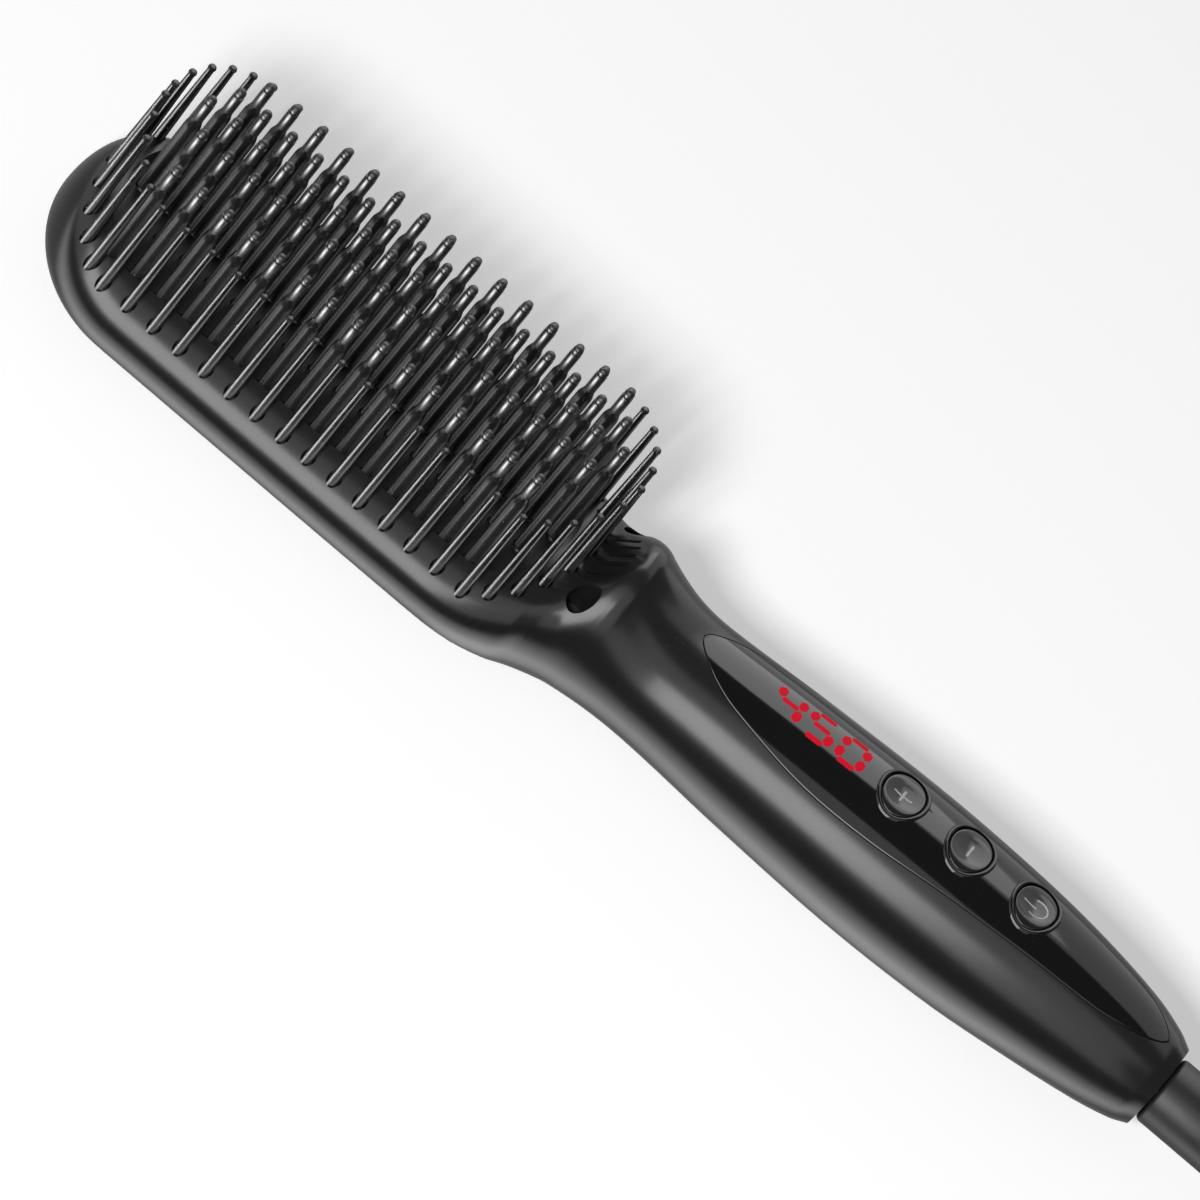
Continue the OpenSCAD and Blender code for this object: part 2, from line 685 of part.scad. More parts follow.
module panel_window() {
    color("black") place() difference() {
        union() {
            intersection() {
                leaf_prism(0);
                top_loft(panel_stations);
            }
            intersection() {
                top_loft(panel_stations, -bezel_rise);
                for (x = button_x)
                    translate([x, 0, 0]) linear_extrude(height = 2 * handle_r)
                        oval(button_l + 2 * bezel_w, button_w + 2 * bezel_w);
            }
        }
        top_loft(panel_stations, window_t);
        for (x = button_x)
            translate([x, 0, 0]) linear_extrude(height = 2 * handle_r)
                oval(button_l + 2 * button_gap, button_w + 2 * button_gap);
        lit_bars(0.02, 2 * handle_r);
    }
}

// A button: dished cap, flange under the window and stem down to its switch
flange_t = 0.8;
flange_room = 0.25;
plunger_top = 10.9;
function button_z(i) = top_at(button_x[i]);
module button(i) {
    x = button_x[i];
    z = button_z(i);
    flange_z = sqrt(pow(half_at(x) - window_t, 2) - pow(button_w / 2 + 0.6, 2)) + edge_at(x) - flange_room;
    color("black") place() difference() {
        union() {
            intersection() {
                translate([x, 0, flange_z - flange_t]) linear_extrude(height = 8)
                    oval(button_l, button_w);
                translate([x - 10, 0, edge_at(x)]) rotate([0, 90, 0])
                    cylinder(r = half_at(x) + 0.1, h = 20);
            }
            translate([x, 0, flange_z - flange_t]) linear_extrude(height = flange_t)
                oval(button_l + 1.2, button_w + 1.2);
            translate([x, 0, plunger_top + 0.05]) cylinder(d = 3, h = flange_z - plunger_top);
        }
        translate([x, 0, z + 9.3]) sphere(r = 10);
    }
}

switch_floor = 1.6;
plunger_d = 3.4;
module plunger(i) {
    foot = board_top + switch_floor + travel + seat_gap;
    color("ivory") place() translate([button_x[i], 0, foot])
        cylinder(d = plunger_d, h = plunger_top - foot);
}

module switch_bodies() {
    color("dimgray") place() for (x = button_x)
        translate([x, 0, board_top]) difference() {
            translate([-3, -3, 0]) cube([6, 6, 3.5]);
            translate([0, 0, switch_floor]) cylinder(d = plunger_d + 0.1, h = 3);
        }
}

// Parts that hang under the board, at a distance from its front edge
module under_board(from_edge, size) {
    place() translate([board_x[0] + from_edge, -size[1] / 2, board_top - board_t - size[2]]) cube(size);
}
triac_at = 42;
triac_size = [10, 10, 4.4];
module power_triac() {
    color("black") under_board(triac_at, triac_size);
}

capacitor_at = 24;
capacitor_size = [13, 13, 8];
module filter_capacitor() {
    color("gold") under_board(capacitor_at, capacitor_size);
}

chip_at = 58;
chip_size = [10, 8, 1.7];
module controller_chip() {
    color("black") under_board(chip_at, chip_size);
}

module board_screws() {
    color("silver") place() for (p = post_at)
        translate([p[0], p[1], board_top - board_t])
            pan_screw(board_screw_d - 0.24, board_screw_head[0], board_screw_head[1],
                board_t + board_screw_bite);
}

module neck_screws() {
    color("silver") place() for (s = [1, -1])
        translate([screw_x, s * screw_y, screw_seat]) mirror([0, 0, 1])
            difference() {
                pan_screw(screw_d - 0.44, 5, 2, screw_seat - boss_end + lug_t);
                translate([0, 0, -3]) cylinder(d = 1.8, h = 2.2, $fn = 6);
            }
}

// The swivel: a bush in the handle's end, the sleeve's journal in it and a clip behind
axis_end = edge_at(length);
sleeve_gap = 0.3;
clip_t = 1.2;
journal_end = bush_start - clip_t - 0.6;
module on_axis(x) {
    translate([x, 0, axis_end]) rotate([0, 90, 0]) children();
}

module swivel_bush() {
    color("dimgray") place() on_axis(bush_start) difference() {
        union() {
            cylinder(d = bush_d - 0.1, h = length - bush_start);
            cylinder(d = bush_d + 2, h = core_end - bush_start);
        }
        translate([0, 0, -1]) cylinder(d = journal_d + 2 * journal_gap, h = 20);
    }
}

module cord_sleeve() {
    bore = sleeve_bore;
    barrel = 16;
    tail_r = cord_d / 2 + 1.6;
    ribs = 5;
    rib_pitch = (sleeve_len - barrel - 4) / ribs;
    color("darkslategray") place() on_axis(0) rotate_extrude()
        polygon([[bore / 2, journal_end], [journal_d / 2, journal_end],
            [journal_d / 2, length + sleeve_gap], [sleeve_d / 2 - 0.5, length + sleeve_gap],
            [sleeve_d / 2, length + sleeve_gap + 0.5], [sleeve_d / 2, length + barrel],
            for (i = [0 : ribs - 1])
                let (x = length + barrel + i * rib_pitch, r = mix(sleeve_d / 2, tail_r, (i + 0.5) / ribs))
                    each [[r - 1.1, x + 0.3], [r - 1.1, x + 1.8], [r, x + 2.1], [r - 0.2, x + rib_pitch]],
            [tail_r - 0.3, length + sleeve_len - 3], [tail_r - 0.5, length + sleeve_len],
            [bore / 2, length + sleeve_len]]);
}

module swivel_clip() {
    color("silver") place() on_axis(bush_start - 0.2 - clip_t) difference() {
        cylinder(d = journal_d + 4, h = clip_t);
        translate([0, 0, -1]) cylinder(d = journal_d, h = 5);
    }
}

// Slip contacts: a rotor plugged into the journal, two rings on it and two spring fingers
sleeve_bore = cord_d + 0.4;
rotor_len = 9;
rotor_d = sleeve_bore - 0.04;
ring_d = rotor_d + 1.4;
ring_places = [1.5, 5.5];
ring_w = 2;
module slip_rotor() {
    color("ivory") place() on_axis(journal_end - rotor_len) difference() {
        cylinder(d = rotor_d, h = rotor_len + 4);
        translate([0, 0, 2]) cylinder(d = rotor_d / 2, h = rotor_len + 4);
    }
}

module slip_rings() {
    color("goldenrod") place() for (s = ring_places)
        on_axis(journal_end - rotor_len + s) difference() {
            cylinder(d = ring_d, h = ring_w);
            translate([0, 0, -1]) cylinder(d = rotor_d + 0.02, h = ring_w + 2);
        }
}

finger_y = ring_d / 2 + 0.1;
finger_t = 0.5;
block_y = 6.4;
block_z = axis_end - 3.8;
module contact_fingers() {
    color("goldenrod") place() for (s = ring_places)
        translate([journal_end - rotor_len + s + 0.3, 0, axis_end]) {
            translate([0, -finger_y - finger_t, -3.6]) cube([ring_w - 0.6, finger_t, 4.6]);
            translate([0, -block_y, -3.6])
                cube([ring_w - 0.6, block_y - finger_y, finger_t]);
        }
}

module contact_block() {
    start = board_x[1] - 1.8;
    color("ivory") place() translate([start, -block_y - 1.6, block_z])
        cube([journal_end - 0.6 - start, 1.6, board_top - board_t - block_z]);
}

// The cord: down from the sleeve to the table, then folded into a hank of two by four cords,
// wound in from the outside at the bottom, and off its top to the plug
table_z = cord_d / 2 - rest_z;
tie_t = 1;
hank_run = 46;
hank_wide = 2;
hank_high = 4;
hank_r = 26.8;
hank_x = total_len + 111;
hank_z = table_z + tie_t;
first_route = [[journal_end + 4.2, 0, axis_end], [length + 20, 0, axis_end],
    [total_len - 2, 0, axis_end], [total_len + 8, 0, axis_end - 0.2], [total_len + 18, 0, axis_end - 1.6],
    [total_len + 28, 0, axis_end - 4.6], [total_len + 38, 0, axis_end - 8.4],
    [total_len + 48, 0, axis_end - 11.4], [total_len + 58, 0, table_z], [hank_x - 38, 0.3, table_z],
    [hank_x - 30, 2.3, table_z + 0.3], [hank_x - 23.5, 6.4, table_z + 0.7],
    [hank_x - 17.7, 12, hank_z], [hank_x - 12, 17.7, hank_z]];
// Measured from the middle of the hank's near end
tail_route = [[8, 0, 0], [-8, 0, 0], [-16, 0.1, -0.6], [-26, 0.9, -3.2], [-36, 2.4, -7.6],
    [-46, 4, -12], [-56, 5.2, -15.3], [-64, 5.5, -16.6], [-70, 5.5, -16.75]];
second_route = [for (p = tail_route) [hank_x, -hank_r, hank_z + (hank_high - 1) * cord_d] + p];
plug_at = second_route[len(second_route) - 1];
plug_h = 2 * (plug_at[2] + rest_z);

function unit(v) = v / norm(v);
function heading(p, i) = unit(p[min(len(p) - 1, i + 1)] - p[max(0, i - 1)]);
// Tube swept along a route of points
module tube(route, d, sides = 10) {
    skin([for (i = [0 : len(route) - 1])
        let (t = heading(route, i), side = unit(cross([0, 0, 1], t)), up = cross(t, side))
            [for (k = [0 : sides - 1])
                let (a = 360 * (k + 0.5) / sides)
                    route[i] + d / 2 * (side * cos(a) + up * sin(a))]]);
}

module mains_cord() {
    color("black") place() {
        tube(first_route, cord_d);
        tube(second_route, cord_d);
    }
}

// Outline of the hank: two runs joined by half rings, set in from its outer side
module hank_shape(inset) {
    r = hank_r + cord_d / 2 - inset;
    translate([0, -r]) square([hank_run, 2 * r]);
    for (x = [0, hank_run])
        translate([x, 0]) circle(r = r);
}

module cord_hank() {
    color("black") place() translate([hank_x, 0, hank_z - cord_d / 2])
        linear_extrude(height = hank_high * cord_d) difference() {
            hank_shape(0);
            hank_shape(hank_wide * cord_d);
        }
}

// Strap round the whole hank at its middle
tie_w = 14;
module cord_tie() {
    r = hank_r + cord_d / 2;
    h = hank_high * cord_d;
    color("dimgray") place()
        translate([hank_x + (hank_run - tie_w) / 2, 0, hank_z - cord_d / 2]) difference() {
            translate([0, -r - tie_t, -tie_t]) cube([tie_w, 2 * (r + tie_t), h + 2 * tie_t]);
            translate([-1, -r - 0.02, 0]) cube([tie_w + 2, 2 * r + 0.04, h + 0.02]);
        }
}

// Two-pin plug with flat blades, lying beside the cord and pointing back to the handle
relief_len = 20;
plug_len = 26;
plug_w = 25;
blade = [16, 1.5, 6.35];
blade_pitch = 12.7;
module at_plug(x) {
    translate(plug_at) rotate([0, 0, 180]) translate([x, 0, 0]) children();
}

module plug_relief() {
    color("black") place() at_plug(0) rotate([0, 90, 0])
        cylinder(r1 = cord_d / 2 + 0.9, r2 = plug_h / 2 - 0.6, h = relief_len);
}

module plug_body() {
    w = plug_w / 2;
    color("black") place() at_plug(relief_len) translate([0, 0, -plug_h / 2])
        linear_extrude(height = plug_h)
            polygon([for (s = [1, -1]) for (q = s > 0 ? [0 : 8] : [8 : -1 : 0])
                let (x = plug_len * q / 8) [x, s * mix(plug_h / 2, w, ease(0, plug_len * 0.7, x))]]);
}

module plug_blades() {
    color("silver") place() for (s = [1, -1])
        at_plug(relief_len + plug_len) translate([0, s * blade_pitch / 2 + blade[1] / 2, 0])
            rotate([90, 0, 0]) linear_extrude(height = blade[1]) difference() {
                polygon([[0, -blade[2] / 2], [blade[0] - 2, -blade[2] / 2], [blade[0], -blade[2] / 2 + 2],
                    [blade[0], blade[2] / 2 - 2], [blade[0] - 2, blade[2] / 2], [0, blade[2] / 2]]);
                translate([blade[0] - 4, 0]) circle(d = 3);
            }
}

front_shell();
rear_cover();
heating_plate();
for (i = [0 : 4]) tooth_row(i);
for (i = [0 : 4]) tooth_tips(i);
guard_comb(near_places, comb_split[0] + 0.2, comb_split[1], -1);  // guard_comb_near
guard_comb(far_places, comb_split[0] + 0.2, comb_split[1], 1);  // guard_comb_far
guard_comb(tip_places, -5, comb_split[0], 0);  // guard_comb_tip
guard_comb(neck_places, comb_split[1] + 0.2, shoulder_x, 0);  // guard_comb_neck
plate_carrier();
ceramic_heater();
insulating_film();
heater_clamp();
heater_screws();
thermistor();
thermal_fuse();
heater_leads();
main_board();
display_module();
display_digits();
panel_window();
button(0);  // button_plus
button(1);  // button_minus
button(2);  // button_power
plunger(0);  // plunger_plus
plunger(1);  // plunger_minus
plunger(2);  // plunger_power
switch_bodies();
power_triac();
filter_capacitor();
controller_chip();
board_screws();
neck_screws();
swivel_bush();
cord_sleeve();
swivel_clip();
slip_rotor();
slip_rings();
contact_fingers();
contact_block();
mains_cord();
cord_hank();
cord_tie();
plug_body();
plug_blades();
plug_relief();
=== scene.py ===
# %% [markdown]
# A heated beard straightener: a brush with heated teeth, a ring of guard bristles and a cord that turns.
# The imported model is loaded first. Everything in this lesson is fitted to its bodies, in metres.

# %% Load the frame
import json

import bpy
import numpy as np
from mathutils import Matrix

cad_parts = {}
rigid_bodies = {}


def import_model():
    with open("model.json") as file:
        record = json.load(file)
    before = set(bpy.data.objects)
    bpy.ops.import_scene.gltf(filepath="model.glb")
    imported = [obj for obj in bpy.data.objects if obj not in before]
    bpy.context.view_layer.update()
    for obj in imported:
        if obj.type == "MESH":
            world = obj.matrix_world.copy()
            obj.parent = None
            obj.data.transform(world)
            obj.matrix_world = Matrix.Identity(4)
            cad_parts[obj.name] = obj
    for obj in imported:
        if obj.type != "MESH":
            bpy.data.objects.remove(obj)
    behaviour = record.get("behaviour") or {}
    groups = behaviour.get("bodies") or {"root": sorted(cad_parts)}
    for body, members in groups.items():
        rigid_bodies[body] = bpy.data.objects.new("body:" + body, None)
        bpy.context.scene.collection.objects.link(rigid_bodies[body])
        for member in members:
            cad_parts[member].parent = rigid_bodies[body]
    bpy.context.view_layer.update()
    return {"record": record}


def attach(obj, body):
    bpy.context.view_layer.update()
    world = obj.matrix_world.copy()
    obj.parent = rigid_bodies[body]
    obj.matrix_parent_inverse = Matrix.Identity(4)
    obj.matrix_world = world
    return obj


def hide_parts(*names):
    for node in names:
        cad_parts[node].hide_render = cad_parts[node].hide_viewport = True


for leftover in list(bpy.data.objects):
    bpy.data.objects.remove(leftover)
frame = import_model()

# %% [markdown]
# A maker measures along the brush from the tip of the head, across it, and up from the handle's axis.
# The table lies a little under 16 mm below that axis. The model's own origin lies on the table under the
# middle, so one helper turns these millimetres into metres.

# %% Millimetres to metres
REST = 15.9
ORIGIN_MM = np.array([143.5, 0.0, -REST])


def place(points):
    """Metres = (millimetres - origin) / 1000, for one point or a whole array of them."""
    return (np.asarray(points, float) - ORIGIN_MM) / 1000


# %% [markdown]
# The photograph was taken with a long lens, 46 degrees above the table, and the camera is rolled,
# so the brush runs from the upper left to the lower right. A far camera with a long lens does the same.

# %% Camera
ELEVATION = np.radians(46)
ROLL = np.array([0.7615, 0.6481])
AIM_MM = (117.3, 0, 2.4)
CAMERA_FAR = 2.6
FRAME_WIDTH = 0.2069

towards = np.array([0, -np.cos(ELEVATION), np.sin(ELEVATION)])
level, raised = np.array([1, 0, 0]), np.array([0, np.sin(ELEVATION), np.cos(ELEVATION)])
right = ROLL[0] * level + ROLL[1] * raised
up = -ROLL[1] * level + ROLL[0] * raised
camera = bpy.data.objects.new("camera", bpy.data.cameras.new("camera"))
camera.data.lens = camera.data.sensor_width * CAMERA_FAR / FRAME_WIDTH
camera.data.clip_end = 100
turn = np.eye(4)
turn[:3, 0], turn[:3, 1], turn[:3, 2] = right, up, towards
turn[:3, 3] = place(AIM_MM) + CAMERA_FAR * towards
camera.matrix_world = turn.T.tolist()
bpy.context.scene.collection.objects.link(camera)
bpy.context.scene.camera = camera
print("lens", round(camera.data.lens), "mm")

# %% [markdown]
# Every surface here is worked out as an array of points and then handed to Blender in one go.
# A form is a set of points with its four-sided and three-sided faces. Most forms are tubes:
# rings of points, one after another, shut at both ends with a fan. The rings run so that the faces point outwards.

# %% Forms made of points


def tube(rings, loop=False):
    """Form from rings of points in an array of rows, columns, 3. Each end is closed on the ring's own middle,
    or the last ring joins the first in a loop."""
    rings = np.asarray(rings, float)
    rows, columns = rings.shape[:2]
    r, c = np.meshgrid(np.arange(rows if loop else rows - 1), np.arange(columns), indexing="ij")
    n, s = (c + 1) % columns, (r + 1) % rows
    quads = np.stack([r * columns + c, r * columns + n, s * columns + n, s * columns + c], -1).reshape(-1, 4)
    if loop:
        return rings.reshape(-1, 3), quads, np.zeros((0, 3), int)
    points = np.concatenate([rings.reshape(-1, 3), rings[:1].mean(1), rings[-1:].mean(1)])
    c, n, first = np.arange(columns), (np.arange(columns) + 1) % columns, rows * columns
    end = (rows - 1) * columns
    start_fan = np.stack([np.full(columns, first), n, c], -1)
    end_fan = np.stack([np.full(columns, first + 1), end + c, end + n], -1)
    return points, quads, np.concatenate([start_fan, end_fan])


def copies(form, places):
    """The same form once at each place."""
    points, quads, tris = form
    places = np.asarray(places, float).reshape(-1, 3)
    jump = (np.arange(len(places)) * len(points))[:, None, None]
    return ((points[None] + places[:, None]).reshape(-1, 3),
            (quads[None] + jump).reshape(-1, 4), (tris[None] + jump).reshape(-1, 3))


def outward(form):
    """Turns all faces round if the signed volume, the sum of the triangles' corner products, is negative."""
    points, quads, triangles = form
    fans = np.concatenate([quads[:, :3], quads[:, [0, 2, 3]], triangles])
    a, b, c = (points[fans[:, i]] for i in range(3))
    return form if (a * np.cross(b, c)).sum() > 0 else (points, quads[:, ::-1], triangles[:, ::-1])


def joined(*forms):
    """Several forms as one."""
    jumps = np.cumsum([0] + [len(f[0]) for f in forms])
    return (np.concatenate([f[0] for f in forms]),
            np.concatenate([f[1] + j for f, j in zip(forms, jumps)]),
            np.concatenate([f[2] + j for f, j in zip(forms, jumps)]))


def lathe(profile, sides=24, loop=False):
    """Profile of (radius, height) pairs, from the bottom up, carried round the vertical axis."""
    r, z = np.asarray(profile, float).T
    a = np.linspace(0, 2 * np.pi, sides, endpoint=False)
    return tube(np.stack([r[:, None] * np.cos(a), r[:, None] * np.sin(a), np.tile(z[:, None], sides)], -1), loop)


def along_x(form):
    """A form turned about the vertical lathe axis, laid down so that its height runs along the brush."""
    points, quads, tris = form
    return points[:, [2, 0, 1]], quads, tris


def prism(outline, low, high):
    """Outline of (x, y) pairs, anticlockwise, stood up from one height to another."""
    xy = np.asarray(outline, float)
    return tube(np.stack([np.c_[xy, np.full(len(xy), z)] for z in (low, high)]))


def new_piece(name, form, body="brush", smooth=40):
    """One object at the origin that rides on its body; edges sharper than the angle stay sharp."""
    points, quads, tris = form
    mesh = bpy.data.meshes.new(name)
    mesh.from_pydata(place(points).tolist(), [], quads.tolist() + tris.tolist())
    mesh.validate()
    mesh.shade_smooth()
    mesh.set_sharp_from_angle(angle=np.radians(smooth))
    piece = bpy.data.objects.new(name, mesh)
    bpy.context.scene.collection.objects.link(piece)
    if body:
        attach(piece, body)
    return piece


# %% [markdown]
# Holes and slots are cut as a machinist would: a cutter of the right form is taken away from the solid.
# Blender's Boolean modifier does this, and is applied at once, so that the finished mesh has the hole in it.

# %% Cutting one form with another


def cut(piece, tool, operation="DIFFERENCE"):
    """Takes a form or another object away from a piece, or keeps only what both share."""
    cutter = tool if isinstance(tool, bpy.types.Object) else new_piece("cutter", tool, body=None)
    step = piece.modifiers.new("cut", "BOOLEAN")
    step.object, step.operation, step.solver = cutter, operation, "MANIFOLD"
    shape = bpy.data.meshes.new_from_object(piece.evaluated_get(bpy.context.evaluated_depsgraph_get()))
    piece.modifiers.clear()
    old, piece.data = piece.data, shape
    bpy.data.meshes.remove(old)
    if cutter is not tool:
        bpy.data.objects.remove(cutter)

# %% [markdown]
# The mains cord comes first, because its place decides how much room the model takes. It drops from the
# sleeve to the table. The length that the photograph doesn't show is folded into a hank, two cords wide
# and four high, held by a strap. The maker winds it in from the outside at the bottom: after each turn
# the cord steps to the free place beside it or above it, and every step starts a little before the last one did.

# %% The cord's line
CORD_D = 6.5
TABLE_Z = -REST + CORD_D / 2
HANK_X, HANK_RUN, HANK_R, TIE_T = 398.0, 46.0, 26.8, 1.0
HANK_Z = TABLE_Z + TIE_T
DROP = np.array([
    [287, 0, 0.2], [295, 0, 0], [305, 0, -1.4], [315, 0, -4.4], [325, 0, -8.2], [335, 0, -11.2],
    [345, 0, TABLE_Z], [350, 0, TABLE_Z], [355.3, 0.6, TABLE_Z + 0.1], [360.8, 2.3, TABLE_Z + 0.3],
    [366, 5.2, TABLE_Z + 0.6], [370.7, 9.2, TABLE_Z + 0.8], [375, 13.7, TABLE_Z + 0.95]])
TAIL = np.array([
    [-8, 0, 0], [-16, 0.1, -0.6], [-26, 0.9, -3.2], [-36, 2.4, -7.6],
    [-46, 4, -12], [-56, 5.2, -15.3], [-64, 5.5, -16.6], [-70, 5.5, -16.75]])
STEPS = [(1, 0), (1, 1), (0, 1), (0, 2), (1, 2), (1, 3), (0, 3)]
STEP_AT, STEP_EARLIER, STEP_RUN = 0.6, 0.09, 0.3
TURN_POINTS, CORD_SPACING = 44, 2.5


def hank_line():
    """Race track: far run, half ring, near run, half ring. Each step moves the place in or up by one cord,
    along a half cosine. The first step's middle is at STEP_AT of its turn, each later one's STEP_EARLIER before."""
    mean_r = HANK_R - CORD_D / 2
    lap = 2 * HANK_RUN + 2 * np.pi * mean_r
    run, ring = HANK_RUN / lap, np.pi * mean_r / lap
    t = np.linspace(-ring / 4, len(STEPS) - 1 + 2 * run + ring, TURN_POINTS * len(STEPS))
    inward, upward, before = np.zeros_like(t), np.zeros_like(t), (0, 0)
    for i, spot in enumerate(STEPS):
        part = np.clip((t - i - STEP_AT + STEP_EARLIER * i) / STEP_RUN + 0.5, 0, 1)
        part = 0.5 - 0.5 * np.cos(np.pi * part)
        inward += (spot[0] - before[0]) * part
        upward += (spot[1] - before[1]) * part
        before = spot
    r = HANK_R - CORD_D * inward
    at = t % 1
    far, near = np.clip(at / run, 0, 1), np.clip((at - run - ring) / run, 0, 1)
    angle = np.pi / 2 - np.pi * (np.clip((at - run) / ring, 0, 1) + np.clip((at - 2 * run - ring) / ring, 0, 1))
    x = HANK_X + HANK_RUN * (far - near) + r * np.cos(angle)
    return np.stack([x, r * np.sin(angle), HANK_Z + CORD_D * upward], -1)


def smooth_line(points, spacing):
    """Catmull-Rom curve through the points, sampled again at an even spacing."""
    p = np.concatenate([2 * points[:1] - points[1:2], points, 2 * points[-1:] - points[-2:-1]])
    s = np.linspace(0, 1, 12, endpoint=False)[None, :, None]
    a, b, c, d = (p[i : len(p) - 3 + i, None] for i in range(4))
    curve = 0.5 * (2 * b + (c - a) * s + (2 * a - 5 * b + 4 * c - d) * s**2 + (3 * b - a - 3 * c + d) * s**3)
    curve = np.concatenate([curve.reshape(-1, 3), points[-1:]])
    walked = np.concatenate([[0], np.cumsum(np.linalg.norm(np.diff(curve, axis=0), axis=1))])
    even = np.linspace(0, walked[-1], int(walked[-1] / spacing) + 1)
    return np.stack([np.interp(even, walked, curve[:, i]) for i in range(3)], -1)


hank_top = np.array([HANK_X, -HANK_R, HANK_Z + 3 * CORD_D])
cord_line = smooth_line(np.concatenate([DROP, hank_line(), hank_top + TAIL]), CORD_SPACING)

# %% The cord as a curve
line = bpy.data.curves.new("mains_cord_line", "CURVE")
line.dimensions = "3D"
line.bevel_depth = 1.0  # times each point's radius, so that the curve's own box is right
line.bevel_resolution = 5
line.use_fill_caps = True
spline = line.splines.new("POLY")
spline.points.add(len(cord_line) - 1)
spline.points.foreach_set("co", np.c_[place(cord_line), np.ones(len(cord_line))].ravel())
spline.points.foreach_set("radius", np.full(len(cord_line), CORD_D / 2000))
spline.use_smooth = True
flex = bpy.data.objects.new("mains_flex", line)
bpy.context.scene.collection.objects.link(flex)
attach(flex, "brush")
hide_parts("mains_cord", "cord_hank")
print("curve of", len(spline.points), "points,", CORD_D, "mm thick")

# %% [markdown]
# The body is one moulded form: a wide flat head that draws in to a round handle. A modeller would loft it.
# Here it is a table of measures along the brush, joined by smooth curves, and a rule for each cross-section.
# Across the head the section is a crown with a rolled edge above and a soft tray below;
# along the handle it turns into a circle.

# %% Measures along the body
LENGTH, SHOULDER, HEAD_R, NECK_R, HANDLE_R, END_R = 245.0, 120.0, 23.3, 13.4, 15.4, 8.3
CROWN_TOP, CROWN_R, WALL, EDGE_ROLL, HUMP_H, TRAY_BELOW = 9.8, 34.6, 2.2, 6, 5, 0.3
CROWN_Z = CROWN_TOP - CROWN_R
PARTING, PARTING_GAP = -11.3, 0.08
NECK_FROM, NECK_RUN = 107.5, 7.5
DISH_X, DISH_HALF_L, DISH_HALF_W, DISH_RIM, DISH_DEEP = 114.2, 5.2, 7.4, 0.3, 0.4


def neck_mix(share):
    """Half-width between the neck's and the head's, by the head's share."""
    return NECK_R + (HEAD_R - NECK_R) * share


PLAN = [(0, HEAD_R), (92, HEAD_R), (101, neck_mix(0.9)), (108, neck_mix(0.63)), (111.8, neck_mix(0.39)),
        (115.6, neck_mix(0.22)), (120, neck_mix(0.1)), (134, NECK_R), (158, 14.56), (183, HANDLE_R),
        (205, 14.9), (221, 13.5), (235, 11.5), (242, 9.7), (245, END_R)]
EDGE = [(0, -2.8), (HEAD_R, -3), (96, -2.9), (108, -2), (115.6, -1.3), (124, -1), (134, -1.15), (158, -0.9),
        (183, -0.5), (205, 0), (221, 0.55), (235, 0.6), (245, 0.2)]
HUMP = [(120, 1), (121.5, 0.94), (122.8, 0.78), (125.8, 0.49), (129.9, 0.21), (135, 0.03), (139, 0), (245, 0)]
RAMP = [(108, 0), (109.8, 0.03), (112, 0.19), (113.9, 0.43), (115.5, 0.64), (117.2, 0.85), (118.6, 0.965), (120, 1)]
TUCK = [(0, 0), (92, 0), (108, 0.24), (115.6, 0.55), (124, 0.85), (134, 1), (245, 1)]


def curve(table, x):
    """Smooth value at x: a cubic between neighbouring entries, with slopes taken across each entry's neighbours."""
    t = np.asarray(table, float)
    x = np.asarray(x, float)
    before, after = np.maximum(np.arange(len(t)) - 1, 0), np.minimum(np.arange(len(t)) + 1, len(t) - 1)
    slope = (t[after, 1] - t[before, 1]) / (t[after, 0] - t[before, 0])
    i = np.clip(np.searchsorted(t[:, 0], x, side="right") - 1, 0, len(t) - 2)
    h = t[i + 1, 0] - t[i, 0]
    s = np.clip((x - t[i, 0]) / h, 0, 1)
    ends = t[i, 1] * (1 + 2 * s) * (1 - s) ** 2 + t[i + 1, 1] * s * s * (3 - 2 * s)
    return ends + h * s * (1 - s) * (slope[i] * (1 - s) - slope[i + 1] * s)


def half_width(x, inset=0.0):
    """Half-width seen from above: a round tip, then the plan's table."""
    tip = np.sqrt(np.maximum((HEAD_R - inset) ** 2 - (HEAD_R - np.minimum(x, HEAD_R)) ** 2, 0))
    return np.where(x < HEAD_R, tip, curve(PLAN, x) - inset)


def share_out(x, y, inset):
    """Share of the way from the middle to the outline."""
    tip = np.hypot(HEAD_R - x, y) / (HEAD_R - inset)
    return np.minimum(np.where(x < HEAD_R, tip, np.abs(y) / (curve(PLAN, x) - inset)), 1)


def top_line(x):
    """Height of the middle line: crown, slope up to the shoulder, and down into the round handle."""
    shoulder_top = curve(EDGE, SHOULDER) + curve(PLAN, SHOULDER) + HUMP_H
    slope = CROWN_TOP + (shoulder_top - CROWN_TOP) * curve(RAMP, x)
    return np.where(x < SHOULDER, slope, curve(EDGE, x) + curve(PLAN, x) + HUMP_H * curve(HUMP, x))


def crown_height(x, y, inset):
    """Arc of the large radius across the head."""
    return top_line(x) - CROWN_R + np.sqrt(np.maximum((CROWN_R - inset) ** 2 - y * y, 0))


def roll_width(inset):
    """Width of the rolled edge, which gets narrower as the skin is set in."""
    return EDGE_ROLL - 0.6 * inset


